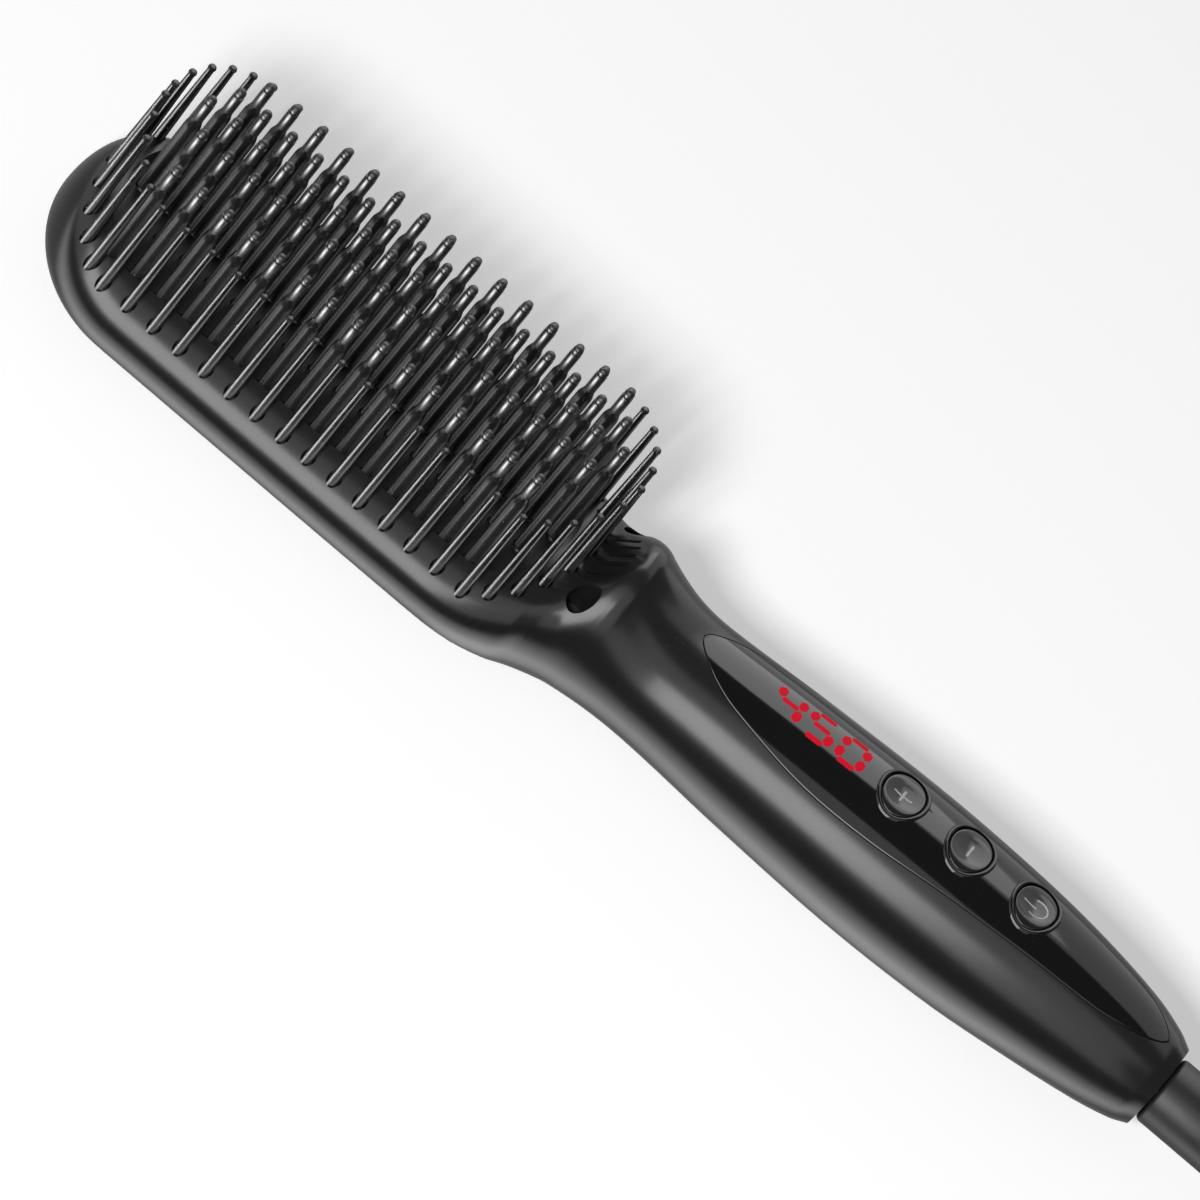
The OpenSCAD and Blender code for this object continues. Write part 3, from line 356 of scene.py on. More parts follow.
def rolled(x, y, inset, edge, out):
    """Part of a quarter ellipse, from the rim's edge up to the crown. It stops short of its own top, where its
    slope is the crown's: at the sine k / (1 - k), with k = slope * width / rise, held between 0 and 0.45."""
    r, roll = HEAD_R - inset, roll_width(inset)
    sideways = y / (r * np.maximum(out, 0.05))
    start = (r - roll) * sideways
    drop = crown_height(x, start, inset) - edge
    slope = start * sideways / np.sqrt((CROWN_R - inset) ** 2 - start**2)
    k = np.clip(slope * roll / drop, 0, 0.45)
    sine = k / (1 - k)
    along = np.clip(1 - (1 - out) * r * (1 - sine) / roll, 0, 1)
    return edge + drop * np.sqrt((1 - along**2) / (1 - sine**2))


def upper(x, y, inset=0.0):
    """Upper skin: a crown with a rolled edge on the head, an ellipse on the neck and handle, and a soft step
    from one to the other. The outer skin also has the shallow dish in which the vents lie."""
    edge, out = curve(EDGE, x), share_out(x, y, inset)
    on_roll = (1 - out) * (HEAD_R - inset) < roll_width(inset)
    head = np.where(on_roll, rolled(x, y, inset, edge, out), crown_height(x, y, inset))
    neck = edge + (top_line(x) - inset - edge) * np.sqrt(np.maximum(1 - out**2, 0))
    s = np.clip((x - NECK_FROM) / NECK_RUN, 0, 1)
    dish = np.clip((1 - np.hypot((x - DISH_X) / DISH_HALF_L, y / DISH_HALF_W)) / DISH_RIM, 0, 1)
    dip = DISH_DEEP * dish * dish * (3 - 2 * dish) if inset == 0 else 0
    return head + (neck - head) * s * s * (3 - 2 * s) - dip


def lower(x, y, inset=0.0):
    """Lower skin: an ellipse that goes from a tray with a flat bottom under the head to a circle."""
    tuck, edge = curve(TUCK, x), curve(EDGE, x)
    bottom = -REST - TRAY_BELOW + (edge - curve(PLAN, x) + REST + TRAY_BELOW) * tuck
    z = edge - (edge - bottom - inset) * np.sqrt(np.maximum(1 - share_out(x, y, inset) ** 2, 0))
    return np.maximum(z, -REST)


def skin(x, turn, inset=0.0):
    """Points of the section at x for angles round it: y = half-width times cosine, then upper or lower skin."""
    x, turn = np.broadcast_arrays(np.asarray(x, float), np.asarray(turn, float))
    y = half_width(x, inset) * np.cos(turn)
    return np.stack([x, y, np.where(np.sin(turn) >= 0, upper(x, y, inset), lower(x, y, inset))], -1)


print("shoulder", round(float(top_line(SHOULDER)), 2), "mm above the axis")

# %% [markdown]
# The guard bristles stand in an oval ring round the plate: two straight rows and two curved ends.
# Their places come from the pitch and from steps in degrees on an ellipse. The same ring, set in, is the
# plate's outline. A row of teeth is given by its place across the brush, its first tooth and its number of teeth.

# %% Places of bristles and teeth
PITCH, TOOTH_R, GUARD_HOLE_R = 5.79, 1.5, 1.3
RING_X, RING_HALF, RING_END, RING_Y = 57.5, 52.9, 15.0, 19.9
SIDE_FIRST, SIDE_COUNT, TIP_FIRST, TIP_STEP, NECK_STEP = 22.9, 14, 5, 15.2, 15.9
ROWS = {"a": (14.7, 17.2, 15), "b": (6.6, 14.25, 16), "c": (0.0, 11.45, 17),
        "d": (-6.6, 14.25, 16), "e": (-14.7, 15.05, 15)}


def ring_end(side, inset, degrees):
    """Ellipse at one end of the ring: x = centre + side * reach * cos, y = side * half-width * sin."""
    a = np.radians(degrees)
    return np.stack([RING_X + side * (RING_HALF - RING_END + (RING_END - inset) * np.cos(a)),
                     side * (RING_Y - inset) * np.sin(a)], -1)


def ring_outline(inset, step=5):
    """The whole oval, anticlockwise, with extra points along its straight sides."""
    a = np.arange(-90, 91, step)
    back, front = ring_end(1, inset, a), ring_end(-1, inset, a)
    s = np.linspace(0, 1, 25)[1:-1, None]
    far = back[-1] + (front[0] - back[-1]) * s
    near = front[-1] + (back[0] - front[-1]) * s
    return np.concatenate([back, far, front, near])


side_x = SIDE_FIRST + PITCH * np.arange(SIDE_COUNT)
tip_spots = np.array([s * (TIP_FIRST + TIP_STEP * i) for s in (1, -1) for i in range(6)])
guard_rows = {
    "near": np.c_[side_x, np.full(SIDE_COUNT, -RING_Y)], "far": np.c_[side_x, np.full(SIDE_COUNT, RING_Y)],
    "tip": ring_end(-1, 0, tip_spots), "neck": ring_end(1, 0, NECK_STEP * np.arange(-4, 5))}
guard_places = np.concatenate(list(guard_rows.values()))
tooth_places = {n: np.c_[x + PITCH * np.arange(k), np.full(k, y)] for n, (y, x, k) in ROWS.items()}
print(len(guard_places), "guard bristles and", sum(map(len, tooth_places.values())), "teeth")

# %% [markdown]
# The shell is moulded in two halves, a front with all its openings and a back cover. The outer skin is
# sampled finely, the hollow is the same skin set in by the wall, and the openings are cut one kind at a time.

# %% Cutters for the shell
fine_turn = np.linspace(0, 2 * np.pi, 144, endpoint=False)
tip_x = HEAD_R * (1 - np.cos(np.radians(np.linspace(0.4, 89, 44))))
fine_x = np.concatenate([tip_x, np.arange(24.5, 104, 2.5), np.arange(104, 137, 0.6), np.arange(138, 232, 3),
                         np.arange(232, 244, 1.0), [244.3, 244.7, 244.93, 245]])
core_x = np.concatenate([HEAD_R - (HEAD_R - WALL) * np.cos(np.radians(np.linspace(3, 88, 14))),
                         np.arange(26, 104, 8), np.arange(106, 138, 2), np.arange(142, 237, 8), [237]])
SCREWS = np.array([[114.8, 10.2, 0], [114.8, -10.2, 0]])
POSTS = np.array([[141, 6.6, 0], [141, -6.6, 0], [222, 7.7, 0], [222, -7.7, 0]])
BOSS_R, SCREW_R, WELL_R, WELL_FLOOR, POST_R = 4, 1.7, 2.35, 3.5, 1.8
AXIS_Z, BORE_R = 0.2, 6.5
LEAF = [(135, 0), (135.6, 1.3), (137.4, 2.9), (141, 5.1), (147, 7.2), (163, 9.9), (179, 10.4), (197, 9.2),
        (210, 8.2), (227, 6.5), (234, 4.7), (238, 3), (240.3, 1.2), (241, 0)]
LEAF_MIDDLE, LEAF_REACH = 188, 53
VENT_Y = np.array([0, 2.47, -2.47, 4.99, -4.99])
VENT_X, VENT_BOW, VENT_RUN, VENT_R, VENT_SLOPE = 115.3, 0.035, 2.1, 0.55, 45


def skin_tube(stations, inset=0.0, turns=fine_turn):
    """The skin as a tube whose rings run round the brush."""
    return tube(skin(stations[:, None], turns[None, :], inset))


def box_form(low, high):
    """Straight-sided block between two corners."""
    (x0, y0, z0), (x1, y1, z1) = low, high
    return prism([(x0, y0), (x1, y0), (x1, y1), (x0, y1)], z0, z1)


def leaf_half(x, grow=0.0):
    """Half-width of the panel's leaf outline, pointed at both ends."""
    return np.maximum(curve(LEAF, x) + grow, 0.01)


leaf_x = np.concatenate([
    135 + np.array([0, 0.08, 0.2, 0.4, 0.7, 1.2, 2, 3.2, 4.6, 6.2, 8, 10]), np.linspace(147, 228, 46),
    241 - np.array([11, 9.4, 7.6, 6, 4.6, 3.2, 2, 1.2, 0.7, 0.4, 0.2, 0.08, 0])])


def leaf_form(grow, low, high, columns=40):
    """Block under the leaf outline between two heights that are functions of x and y. A leaf that is grown
    is also longer, by the same amount at each end."""
    stretch = 1 + grow / LEAF_REACH
    x = LEAF_MIDDLE + (leaf_x - LEAF_MIDDLE) * stretch
    half = leaf_half(LEAF_MIDDLE + (x - LEAF_MIDDLE) / stretch, grow)
    across = np.sin(np.linspace(-np.pi / 2, np.pi / 2, columns))
    y = half[:, None] * across[None, :]
    xs = np.broadcast_to(x[:, None], y.shape)
    bottom = np.stack([xs, y, low(xs, y)], -1)
    top = np.stack([xs, y, high(xs, y)], -1)[:, ::-1]
    return tube(np.concatenate([bottom, top], 1))


def vent_slots():
    """Five slots with round ends, all turned by one angle to lie on the slope, and set on a shallow arc:
    x falls with y squared."""
    a = np.linspace(0, 2 * np.pi, 20, endpoint=False)
    ahead = VENT_RUN * np.sign(np.cos(a)) * (np.abs(np.cos(a)) > 1e-9) + VENT_R * np.cos(a)
    outline = np.stack([ahead, VENT_R * np.sin(a)], -1)
    rings = np.stack([np.c_[outline, np.full(len(a), z)] for z in (-4.0, 4.0)])
    c = np.cos(np.radians(VENT_SLOPE))
    tilt = np.array([[c, 0, -c], [0, 1, 0], [c, 0, c]])
    x = VENT_X - VENT_BOW * VENT_Y**2
    return copies(tube(rings @ tilt.T), np.stack([x, VENT_Y, upper(x, VENT_Y)], -1))


# %% Front shell and back cover
front = new_piece("moulded_front_shell", skin_tube(fine_x))
hollow = new_piece("hollow", skin_tube(core_x, WALL, fine_turn[::3]), body=None)
cut(hollow, joined(copies(lathe([(BOSS_R, -1.5), (BOSS_R, 30)], 32), SCREWS),
                   copies(lathe([(POST_R, 6.4), (POST_R, 20)], 24), POSTS)))
cover = new_piece("moulded_back_cover", skin_tube(fine_x))
print("skin", len(front.data.vertices), "points")

# %% Cut the openings
for half in (front, cover):
    cut(half, hollow)
bpy.data.objects.remove(hollow)
cut(front, box_form((-5, -40, PARTING + PARTING_GAP), (260, 40, 40)), "INTERSECT")
cut(cover, box_form((-5, -40, -30), (260, 40, PARTING - PARTING_GAP)), "INTERSECT")

# The plate's opening, with room for the outer rows' end teeth, and a hole for each guard bristle.
cut(front, prism(ring_outline(3.5), 0, 30))
reliefs = np.array([[x + PITCH * k, y, 0] for y, x, n in (ROWS["a"], ROWS["e"]) for k in (0, n - 1)])
cut(front, copies(lathe([(TOOTH_R + 0.3, 0), (TOOTH_R + 0.3, 30)]), reliefs))
guard_spots = np.c_[guard_places, np.zeros(len(guard_places))]
cut(front, copies(lathe([(GUARD_HOLE_R, -2), (GUARD_HOLE_R, 30)], 32), guard_spots))
# The vents, and a stepped well for each screw.
cut(front, vent_slots())
cut(front, copies(lathe([(SCREW_R, -30), (SCREW_R, WELL_FLOOR), (WELL_R, WELL_FLOOR), (WELL_R, 30)], 32), SCREWS))
# The panel's seat, the opening under it, and the bore for the bush.
cut(front, leaf_form(0.1, lambda x, y: upper(x, y, 1.2), lambda x, y: upper(x, y) + 4))
cut(front, leaf_form(-1.3, lambda x, y: 0 * x + 1, lambda x, y: upper(x, y) + 5))
bore = along_x(lathe([(BORE_R, 235), (BORE_R, 250)], 64))
bore[0][:, 2] += AXIS_Z
cut(front, bore)
print("front shell", len(front.data.polygons), "faces")


# %% [markdown]
# Long thin faces beside a cut would show as dents in the gloss. The true direction of the skin is known
# from its rule, so every corner on the outer skin gets that direction as its own normal.

# %% True normals on the moulded skin
SKIN_REACH, SMALL_TURN, SMALL_STEP = 0.06, 0.004, 0.002


def values(items, name, width, kind=float):
    """One property of all the items, as an array with a row for each."""
    flat = np.zeros(len(items) * width, kind)
    items.foreach_get(name, flat)
    return flat.reshape(-1, width) if width > 1 else flat


def true_normals(piece):
    """At each corner on the skin: two small steps on the skin rule and their cross product. A corner that is
    farther from the skin than SKIN_REACH, whose face looks another way, or that is on the flat bottom, keeps
    its own normal. Gives the share of corners on the skin."""
    mesh = piece.data
    corner = values(mesh.loops, "vertex_index", 1, int)
    flat = np.repeat(values(mesh.polygons, "normal", 3), values(mesh.polygons, "loop_total", 1, int), axis=0)
    own = values(mesh.corner_normals, "vector", 3)
    p = (values(mesh.vertices, "co", 3) * 1000 + ORIGIN_MM)[corner]
    x = np.clip(p[:, 0], 0.003, LENGTH - 0.02)
    cosine = np.clip(p[:, 1] / np.maximum(half_width(x), 1e-6), -1, 1)
    turned = np.where(p[:, 2] >= curve(EDGE, x), np.arccos(cosine), -np.arccos(cosine))
    du = skin(x, turned + SMALL_TURN) - skin(x, turned - SMALL_TURN)
    dx = skin(x + SMALL_STEP, turned) - skin(x - SMALL_STEP, turned)
    n = np.cross(dx, du)
    size = np.linalg.norm(n, axis=1, keepdims=True)
    n = np.where(size > 1e-12, n / np.maximum(size, 1e-12), flat)
    n *= np.sign((n * flat).sum(1, keepdims=True))
    away = np.linalg.norm(skin(x, turned) - p, axis=1)
    on_skin = (away < SKIN_REACH) & ((n * flat).sum(1) > 0.9) & (p[:, 2] > -REST + 0.01)
    mesh.normals_split_custom_set(np.where(on_skin[:, None], n, own).tolist())
    return on_skin.mean()


for half in (front, cover):
    half.data.shade_smooth()
    half.data.set_sharp_from_angle(angle=np.radians(35))
    print(half.name, "skin corners", round(true_normals(half), 2))
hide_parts("front_shell")
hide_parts("rear_cover")

# %% [markdown]
# The heating plate is a shallow oval lid of aluminium, curved like the head's crown, a little below it.
# Its rings shrink from the oval outline to a short line in the middle, on both of its faces.

# %% Heating plate
PLATE_R, PLATE_T, PLATE_INSET, PLATE_BEVEL = 32.3, 2.4, 2.55, 0.3


def crown(y, radius):
    """Height of a crown of this radius over the brush's middle: the shell's centre height plus a circle."""
    return CROWN_Z + np.sqrt(np.maximum(radius**2 - np.asarray(y, float) ** 2, 0))


def lid(inset, rim, top_r, bottom_r):
    """Oval lid: rings go from the middle line to the rim below, round the rim, and back to the middle on top."""
    shrink = np.array([0.985, 0.93, 0.86, 0.76, 0.64, 0.5, 0.36, 0.22, 0.1, 0.03])
    outer = ring_outline(inset, 3)
    inner = ring_outline(inset + rim, 3)
    spine = np.c_[np.clip(inner[:, 0], 22, 93), np.zeros(len(inner))]
    rings = [inner + (spine - inner) * f for f in shrink] + [inner, outer, outer, inner]
    rings += [inner + (spine - inner) * f for f in shrink[::-1]]
    rings = np.stack(rings)
    below = len(shrink) + 1
    heights = crown(rings[..., 1], top_r)
    heights[:below] = crown(rings[:below, :, 1], bottom_r)
    heights[below] = crown(outer[:, 1], bottom_r) + 0.7 * rim
    heights[below + 1] = crown(outer[:, 1], top_r) - 0.7 * rim
    return tube(np.concatenate([rings, heights[..., None]], -1))


plate = new_piece("heating_plate_lid", lid(PLATE_INSET, PLATE_BEVEL, PLATE_R, PLATE_R - PLATE_T), smooth=30)
pad = new_piece("pad", box_form((20.5, -9.4, 3.1), (94.5, 9.4, 5.4)), body=None)
cut(plate, pad, "UNION")
bpy.data.objects.remove(pad)
plate.data.shade_smooth()
plate.data.set_sharp_from_angle(angle=np.radians(30))
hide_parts("heating_plate")
print("plate", len(plate.data.polygons), "faces")

# %% [markdown]
# A heated tooth is turned: a flared foot on the plate, a wide hot shaft, a soft shoulder and a slim core.
# An insulating sleeve with a small knob covers the core, so that only the knob touches the skin.
# One profile is spun for each row, because the rows end at different heights, and then copied along the row.

# %% Heated teeth and their tips
TOOTH_TOP, TOOTH_DROP, TIP_LEN, SHOULDER_LEN, TIP_R = 35.0, 3.3, 6.3, 2.4, 1.05
OUTER_Y = ROWS["a"][0]


def row_top(y):
    """Height of a row's tips: it falls with the square of the row's distance from the middle."""
    return TOOTH_TOP - TOOTH_DROP * (y / OUTER_Y) ** 2


def tooth_profile(y):
    """Foot, shaft and a shoulder that follows a half cosine from the shaft's radius to the tip's."""
    top, root = row_top(y), float(crown(y, PLATE_R))
    s = np.linspace(0, 1, 7)
    narrowing = TIP_R + (TOOTH_R - TIP_R) * (0.5 + 0.5 * np.cos(np.pi * s))
    shoulder = np.c_[narrowing, top - TIP_LEN - SHOULDER_LEN * (1 - s)]
    foot = [(0.01, root - 1), (1.5, root - 1), (1.85, root - 0.02), (1.66, root + 0.14), (1.53, root + 0.45)]
    return foot + shoulder.tolist() + [(0.6, top - TIP_LEN), (0.6, top - 0.9), (0.01, top - 0.9)]


def cap_profile(y):
    """Sleeve, a groove near its end and a round knob, as radius and depth below the row's top."""
    top = row_top(y)
    sleeve = [(0.64, 6.27), (0.98, 6.27), (1.05, 6.2), (1.05, 1.75), (1.02, 1.66), (0.8, 1.62), (0.76, 1.5),
              (0.8, 1.4), (0.92, 1.3), (0.97, 1.05), (0.95, 0.78), (0.84, 0.46), (0.62, 0.2), (0.34, 0.05), (0.01, 0)]
    return [(r, top - depth) for r, depth in sleeve] + [(0.01, top - 0.85), (0.64, top - 0.85)]


for row, places in tooth_places.items():
    y, first, count = ROWS[row]
    spots = np.c_[places, np.zeros(count)]
    last = first + (count - 1) * PITCH
    rail = box_form((first - TOOTH_R, y - TOOTH_R, float(crown(y, PLATE_R)) - 1.2),
                    (last + TOOTH_R, y + TOOTH_R, float(crown(abs(y) + TOOTH_R, PLATE_R)) - 0.05))
    teeth = new_piece("heated_teeth_" + row, joined(copies(lathe(tooth_profile(y), 20), spots), rail), smooth=45)
    caps = new_piece("insulating_knobs_" + row, copies(lathe(cap_profile(y), 18, loop=True), spots), smooth=50)
    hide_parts("tooth_row_" + row)
    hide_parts("tooth_tips_" + row)
print("tooth rows", list(tooth_places))

# %% [markdown]
# The guard bristles are moulded on four strips under the shell and stand out through its holes.
# They taper and end in a small knob that draws in to a flat end. The straight rows stay lower than the two ends.

# %% Guard bristles on their strips
GUARD_TOP, GUARD_DROP, GUARD_ROOT_R = 30.2, 3.5, 31.2
STRIP_HALF, STRIP_INSET, STRIP_LOW_R, STRIP_TOP_R = 0.6, 1.6, 29.95, 31.9


def bristle_profile(y):
    """Straight root, a slow taper, and a knob that widens quickly and draws in, a little stepped, to a flat end."""
    top = GUARD_TOP - GUARD_DROP * (y / RING_Y) ** 2
    root = float(crown(y, GUARD_ROOT_R))
    return [(0.01, root), (1.04, root), (1.02, root + 4), (0.66, top - 0.75), (0.74, top - 0.68), (0.8, top - 0.55),
            (0.78, top - 0.42), (0.74, top - 0.36), (0.72, top - 0.2), (0.58, top - 0.06), (0.36, top), (0.01, top)]


def strip_form(path):
    """Flat band under the shell: its cross-section is carried along the ring's path and follows the crown."""
    ahead = np.gradient(path, axis=0)
    side = np.stack([ahead[:, 1], -ahead[:, 0]], -1) / np.linalg.norm(ahead, axis=1, keepdims=True)
    corners = [(path + side * s, r) for s, r in ((-STRIP_HALF, STRIP_LOW_R), (STRIP_HALF, STRIP_LOW_R),
                                                 (STRIP_HALF, STRIP_TOP_R), (-STRIP_HALF, STRIP_TOP_R))]
    return outward(tube(np.stack([np.c_[p, crown(p[:, 1], r)] for p, r in corners], 1)))


def ring_path(part):
    """Middle of the strip for one comb, along the ring set in."""
    if part in ("near", "far"):
        x = np.linspace(20.9, 99.9, 40)
        return np.c_[x, np.full(len(x), STRIP_INSET - RING_Y if part == "near" else RING_Y - STRIP_INSET)]
    side, degrees = (-1, np.linspace(-88, 88, 45)) if part == "tip" else (1, np.linspace(-62, 62, 35))
    return ring_end(side, STRIP_INSET, degrees)


for part, places in guard_rows.items():
    bristles = [copies(lathe(bristle_profile(y), 20), [(x, y, 0)]) for x, y in places]
    comb = new_piece("guard_bristles_" + part, joined(strip_form(ring_path(part)), *bristles), smooth=35)
    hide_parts("guard_comb_" + part)
print("guard combs", list(guard_rows))

# %% [markdown]
# The control panel is a leaf of smoked plastic let into the handle. Its face is the skin itself, its edge
# is broken a little, and a raised bezel runs round each button. The buttons have dished faces.

# %% Panel window
BUTTONS = {"plus": 178.8, "minus": 193.7, "power": 208.6}
BUTTON_L, BUTTON_W, BUTTON_GAP = 4.0, 4.9, 0.25
WINDOW_T, WINDOW_LIFT, WINDOW_ROLL, WINDOW_DROP = 1.1, 0.02, 0.16, 0.22
BEZEL_IN, BEZEL_W, BEZEL_H, BEZEL_FOOT = 0.27, 0.78, 0.34, -0.9
oval_turn = np.linspace(0, 2 * np.pi, 96, endpoint=False)


def oval(x, grow):
    """Outline round a button: an ellipse with both half-axes grown by the same amount."""
    return np.stack([x + (BUTTON_L + grow) * np.cos(oval_turn), (BUTTON_W + grow) * np.sin(oval_turn)], -1)


def window_face(x, y):
    """The skin, lifted by WINDOW_LIFT, and rolled down to the outline by the square of the way to it."""
    near = np.clip((leaf_half(x) - np.abs(y)) / WINDOW_ROLL, 0, 1)
    return upper(x, y) + WINDOW_LIFT - WINDOW_DROP * (1 - near) ** 2


def bezel(x):
    """Raised ring: a half-round bump carried round the button's oval, its foot inside the window."""
    s = np.linspace(0, 1, 9)
    grows = np.concatenate([[BEZEL_IN], BEZEL_IN + BEZEL_W * s, [BEZEL_IN + BEZEL_W]])
    lifts = np.concatenate([[BEZEL_FOOT], BEZEL_H * np.sin(np.pi * (0.12 + 0.88 * s)) ** 0.7, [BEZEL_FOOT]])
    edges = [oval(x, grow) for grow in grows]
    rings = [np.c_[edge, upper(edge[:, 0], edge[:, 1]) + lift] for edge, lift in zip(edges, lifts)]
    return tube(np.stack(rings, 1)[::-1], loop=True)


window = new_piece("smoked_window", leaf_form(0, lambda x, y: upper(x, y, WINDOW_T), window_face, 61), smooth=50)
for x in BUTTONS.values():
    cut(window, prism(oval(x, BUTTON_GAP), 5, 30))
cut(window, joined(*[bezel(x) for x in BUTTONS.values()]), "UNION")
window.data.shade_smooth()
window.data.set_sharp_from_angle(angle=np.radians(40))
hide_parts("panel_window")
print("window", len(window.data.polygons), "faces")

# %% Buttons with dished faces
KEY_LIFT, DISH_SPHERE, KEY_DISH, KEY_RIM, FLANGE_OUT, FLANGE_GAP = 0.1, 10, 0.7, 0.3, 0.6, 0.25
SHARPNESS, NEAR_Z = 14, 14


def button_face(x, y, middle):
    """Soft minimum of the skin and a round dish: minus the logarithm of the sum of exp(-sharpness * height),
    divided by the sharpness. A height near the keys is taken off first and put back, so the sums stay small."""
    skin_z = upper(x, y) + KEY_LIFT
    sphere = np.sqrt(np.maximum(DISH_SPHERE**2 - (x - middle) ** 2 - y * y, 1))
    dish_z = upper(middle, 0.0) - KEY_DISH + DISH_SPHERE - sphere
    summed = np.exp(-SHARPNESS * (skin_z - NEAR_Z)) + np.exp(-SHARPNESS * (dish_z - NEAR_Z))
    return -np.log(summed) / SHARPNESS + NEAR_Z


def flange_z(middle):
    """Height of the flange's top, just under the window's inner face at the button's side."""
    radius = float(curve(PLAN, middle)) - WINDOW_T
    return float(np.sqrt(radius**2 - (BUTTON_W + FLANGE_OUT) ** 2) + curve(EDGE, middle)) - FLANGE_GAP


def button_form(middle):
    """Rings of the oval from its foot up, over a rounded rim, and in to the middle; then the flange and stem."""
    a = np.radians([0, 20, 40, 60, 80])
    shrink = np.concatenate([KEY_RIM * (1 - np.cos(a)), [0.5, 0.8, 1.2, 1.6, 2.0, 2.5, 3.0, 3.5, 3.9]])
    drop = np.concatenate([KEY_RIM * (1 - np.sin(a)), np.zeros(len(shrink) - len(a))])
    outline, centre, top = oval(middle, 0), np.array([middle, 0]), flange_z(middle)
    rings = [np.c_[outline, np.full(len(outline), 10.5)]]
    for inward, lower_by in zip(shrink, drop):
        edge = centre + (outline - centre) * (1 - inward / (BUTTON_L + 0.05))
        rings.append(np.c_[edge, button_face(edge[:, 0], edge[:, 1], middle) - lower_by])
    flange = prism(oval(middle, FLANGE_OUT), top - 0.8, top)
    stem = copies(lathe([(1.5, 10.95), (1.5, top - 0.4)], 24), [(middle, 0, 0)])
    return joined(tube(np.stack(rings)), flange, stem)


for name, x in BUTTONS.items():
    button = new_piece("dished_button_" + name, button_form(x), body=name + "_key", smooth=50)
    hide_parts("button_" + name)
print("flange tops", [round(flange_z(x), 2) for x in BUTTONS.values()])

# %% [markdown]
# Digits and symbols are thin patches that lie on a curved face: each outline is filled with rings of itself
# that shrink to its middle, and every ring is laid on the surface below it. The digits glow through the window.

# %% Patches for digits and symbols
SIGN_LIFT = 0.02


def patch(outline, surface, foot=0.12):
    """Outline of (x, y) pairs, anticlockwise: a foot under the surface, an edge above it, and rings to the middle."""
    edge = np.asarray(outline, float)
    pieces = np.linspace(0, 1, 5, endpoint=False)[None, :, None]
    edge = (edge[:, None] + (np.roll(edge, -1, 0) - edge)[:, None] * pieces).reshape(-1, 2)
    middle = edge.mean(0)
    rings = [np.c_[edge, surface(edge[:, 0], edge[:, 1]) - foot]]
    for f in (1, 0.97, 0.75, 0.5, 0.25, 0.05):
        ring = middle + (edge - middle) * f
        rings.append(np.c_[ring, surface(ring[:, 0], ring[:, 1]) + (SIGN_LIFT if f < 1 else 0)])
    return tube(np.stack(rings))


def bar(x, y, length, width, pointed):
    """Bar along x or, with a negative length, along y; its ends are pointed or round."""
    a, b = abs(length) / 2, width / 2
    if pointed:
        c = 0.75 * b
        shape = np.array([(a, 0), (a - c, b), (c - a, b), (-a, 0), (c - a, -b), (a - c, -b)])
    else:
        c = b * 0.5
        shape = np.array([(a, b - c), (a - c, b), (c - a, b), (-a, b - c),
                          (-a, c - b), (c - a, -b), (a - c, -b), (a, c - b)])
    if length < 0:
        shape = np.c_[-shape[:, 1], shape[:, 0]]
    return shape + [x, y]


def ribbon(path, width, surface):
    """Thin line on a surface: a flat cross-section carried along the path."""
    path = np.asarray(path, float)
    ahead = np.gradient(path, axis=0)
    side = np.stack([-ahead[:, 1], ahead[:, 0]], -1) / np.linalg.norm(ahead, axis=1, keepdims=True) * width / 2
    left_side, right_side = path + side, path - side
    corners = [(left_side, -0.1), (right_side, -0.1), (right_side, SIGN_LIFT), (left_side, SIGN_LIFT)]
    return outward(tube(np.stack([np.c_[p, surface(p[:, 0], p[:, 1]) + z] for p, z in corners], 1)))


# %% Lit digits
DIGITS = {153.8: "fgbc", 160.7: "afgcd", 167.6: "abcdef"}
FLAT_BAR, UPRIGHT_BAR = (3.7, 1.1), (-2.7, 1.7)
SEGMENTS = {"a": (0, 2.9, *FLAT_BAR), "g": (0, 0, *FLAT_BAR), "d": (0, -2.9, *FLAT_BAR),
            "f": (-2.225, 1.45, *UPRIGHT_BAR), "b": (2.225, 1.45, *UPRIGHT_BAR),
            "e": (-2.225, -1.45, *UPRIGHT_BAR), "c": (2.225, -1.45, *UPRIGHT_BAR)}


def glass_top(x, y):
    """The window's face away from its outline."""
    return upper(x, y) + WINDOW_LIFT


bars = []
for middle, lit in DIGITS.items():
    for segment in lit:
        x, y, long, wide = SEGMENTS[segment]
        bars.append(patch(bar(middle + x, y, long, wide, True), glass_top, foot=1.0))
digits = new_piece("lit_segments", joined(*bars), smooth=30)
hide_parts("display_digits")
print(len(bars), "lit segments")

# %% Symbols on the buttons
faces = {name: lambda x, y, m=middle: button_face(x, y, m) for name, middle in BUTTONS.items()}
around = np.radians(np.linspace(-118, 118, 41))
power_ring = np.c_[209.0 + 2.0 * np.cos(around), 1.8 * np.sin(around)]


def level_line(start, stop, y, count):
    """Straight path along the brush."""
    return np.c_[np.linspace(start, stop, count), np.full(count, y)]


marks = {
    "plus": [patch(bar(178.8, -0.1, -2.8, 0.5, False), faces["plus"]),
             ribbon(level_line(176.9, 180.7, -0.1, 24), 0.34, faces["plus"])],
    "minus": [patch(bar(193.75, 0, -3.0, 0.5, False), faces["minus"])],
    "power": [ribbon(power_ring, 0.32, faces["power"]),
              ribbon(level_line(206.0, 208.9, 0.0, 16), 0.32, faces["power"])]}
for name, forms in marks.items():
    sign = new_piece("sign_" + name, joined(*forms), body=name + "_key", smooth=30)
print("signs", list(marks))

# %% [markdown]
# At the handle's end sits the bush, a plain ring, and in it turns the cord's sleeve. The sleeve is a barrel
# that slims into ribs, so the cord can bend without breaking. Both are profiles turned about the cord's axis.

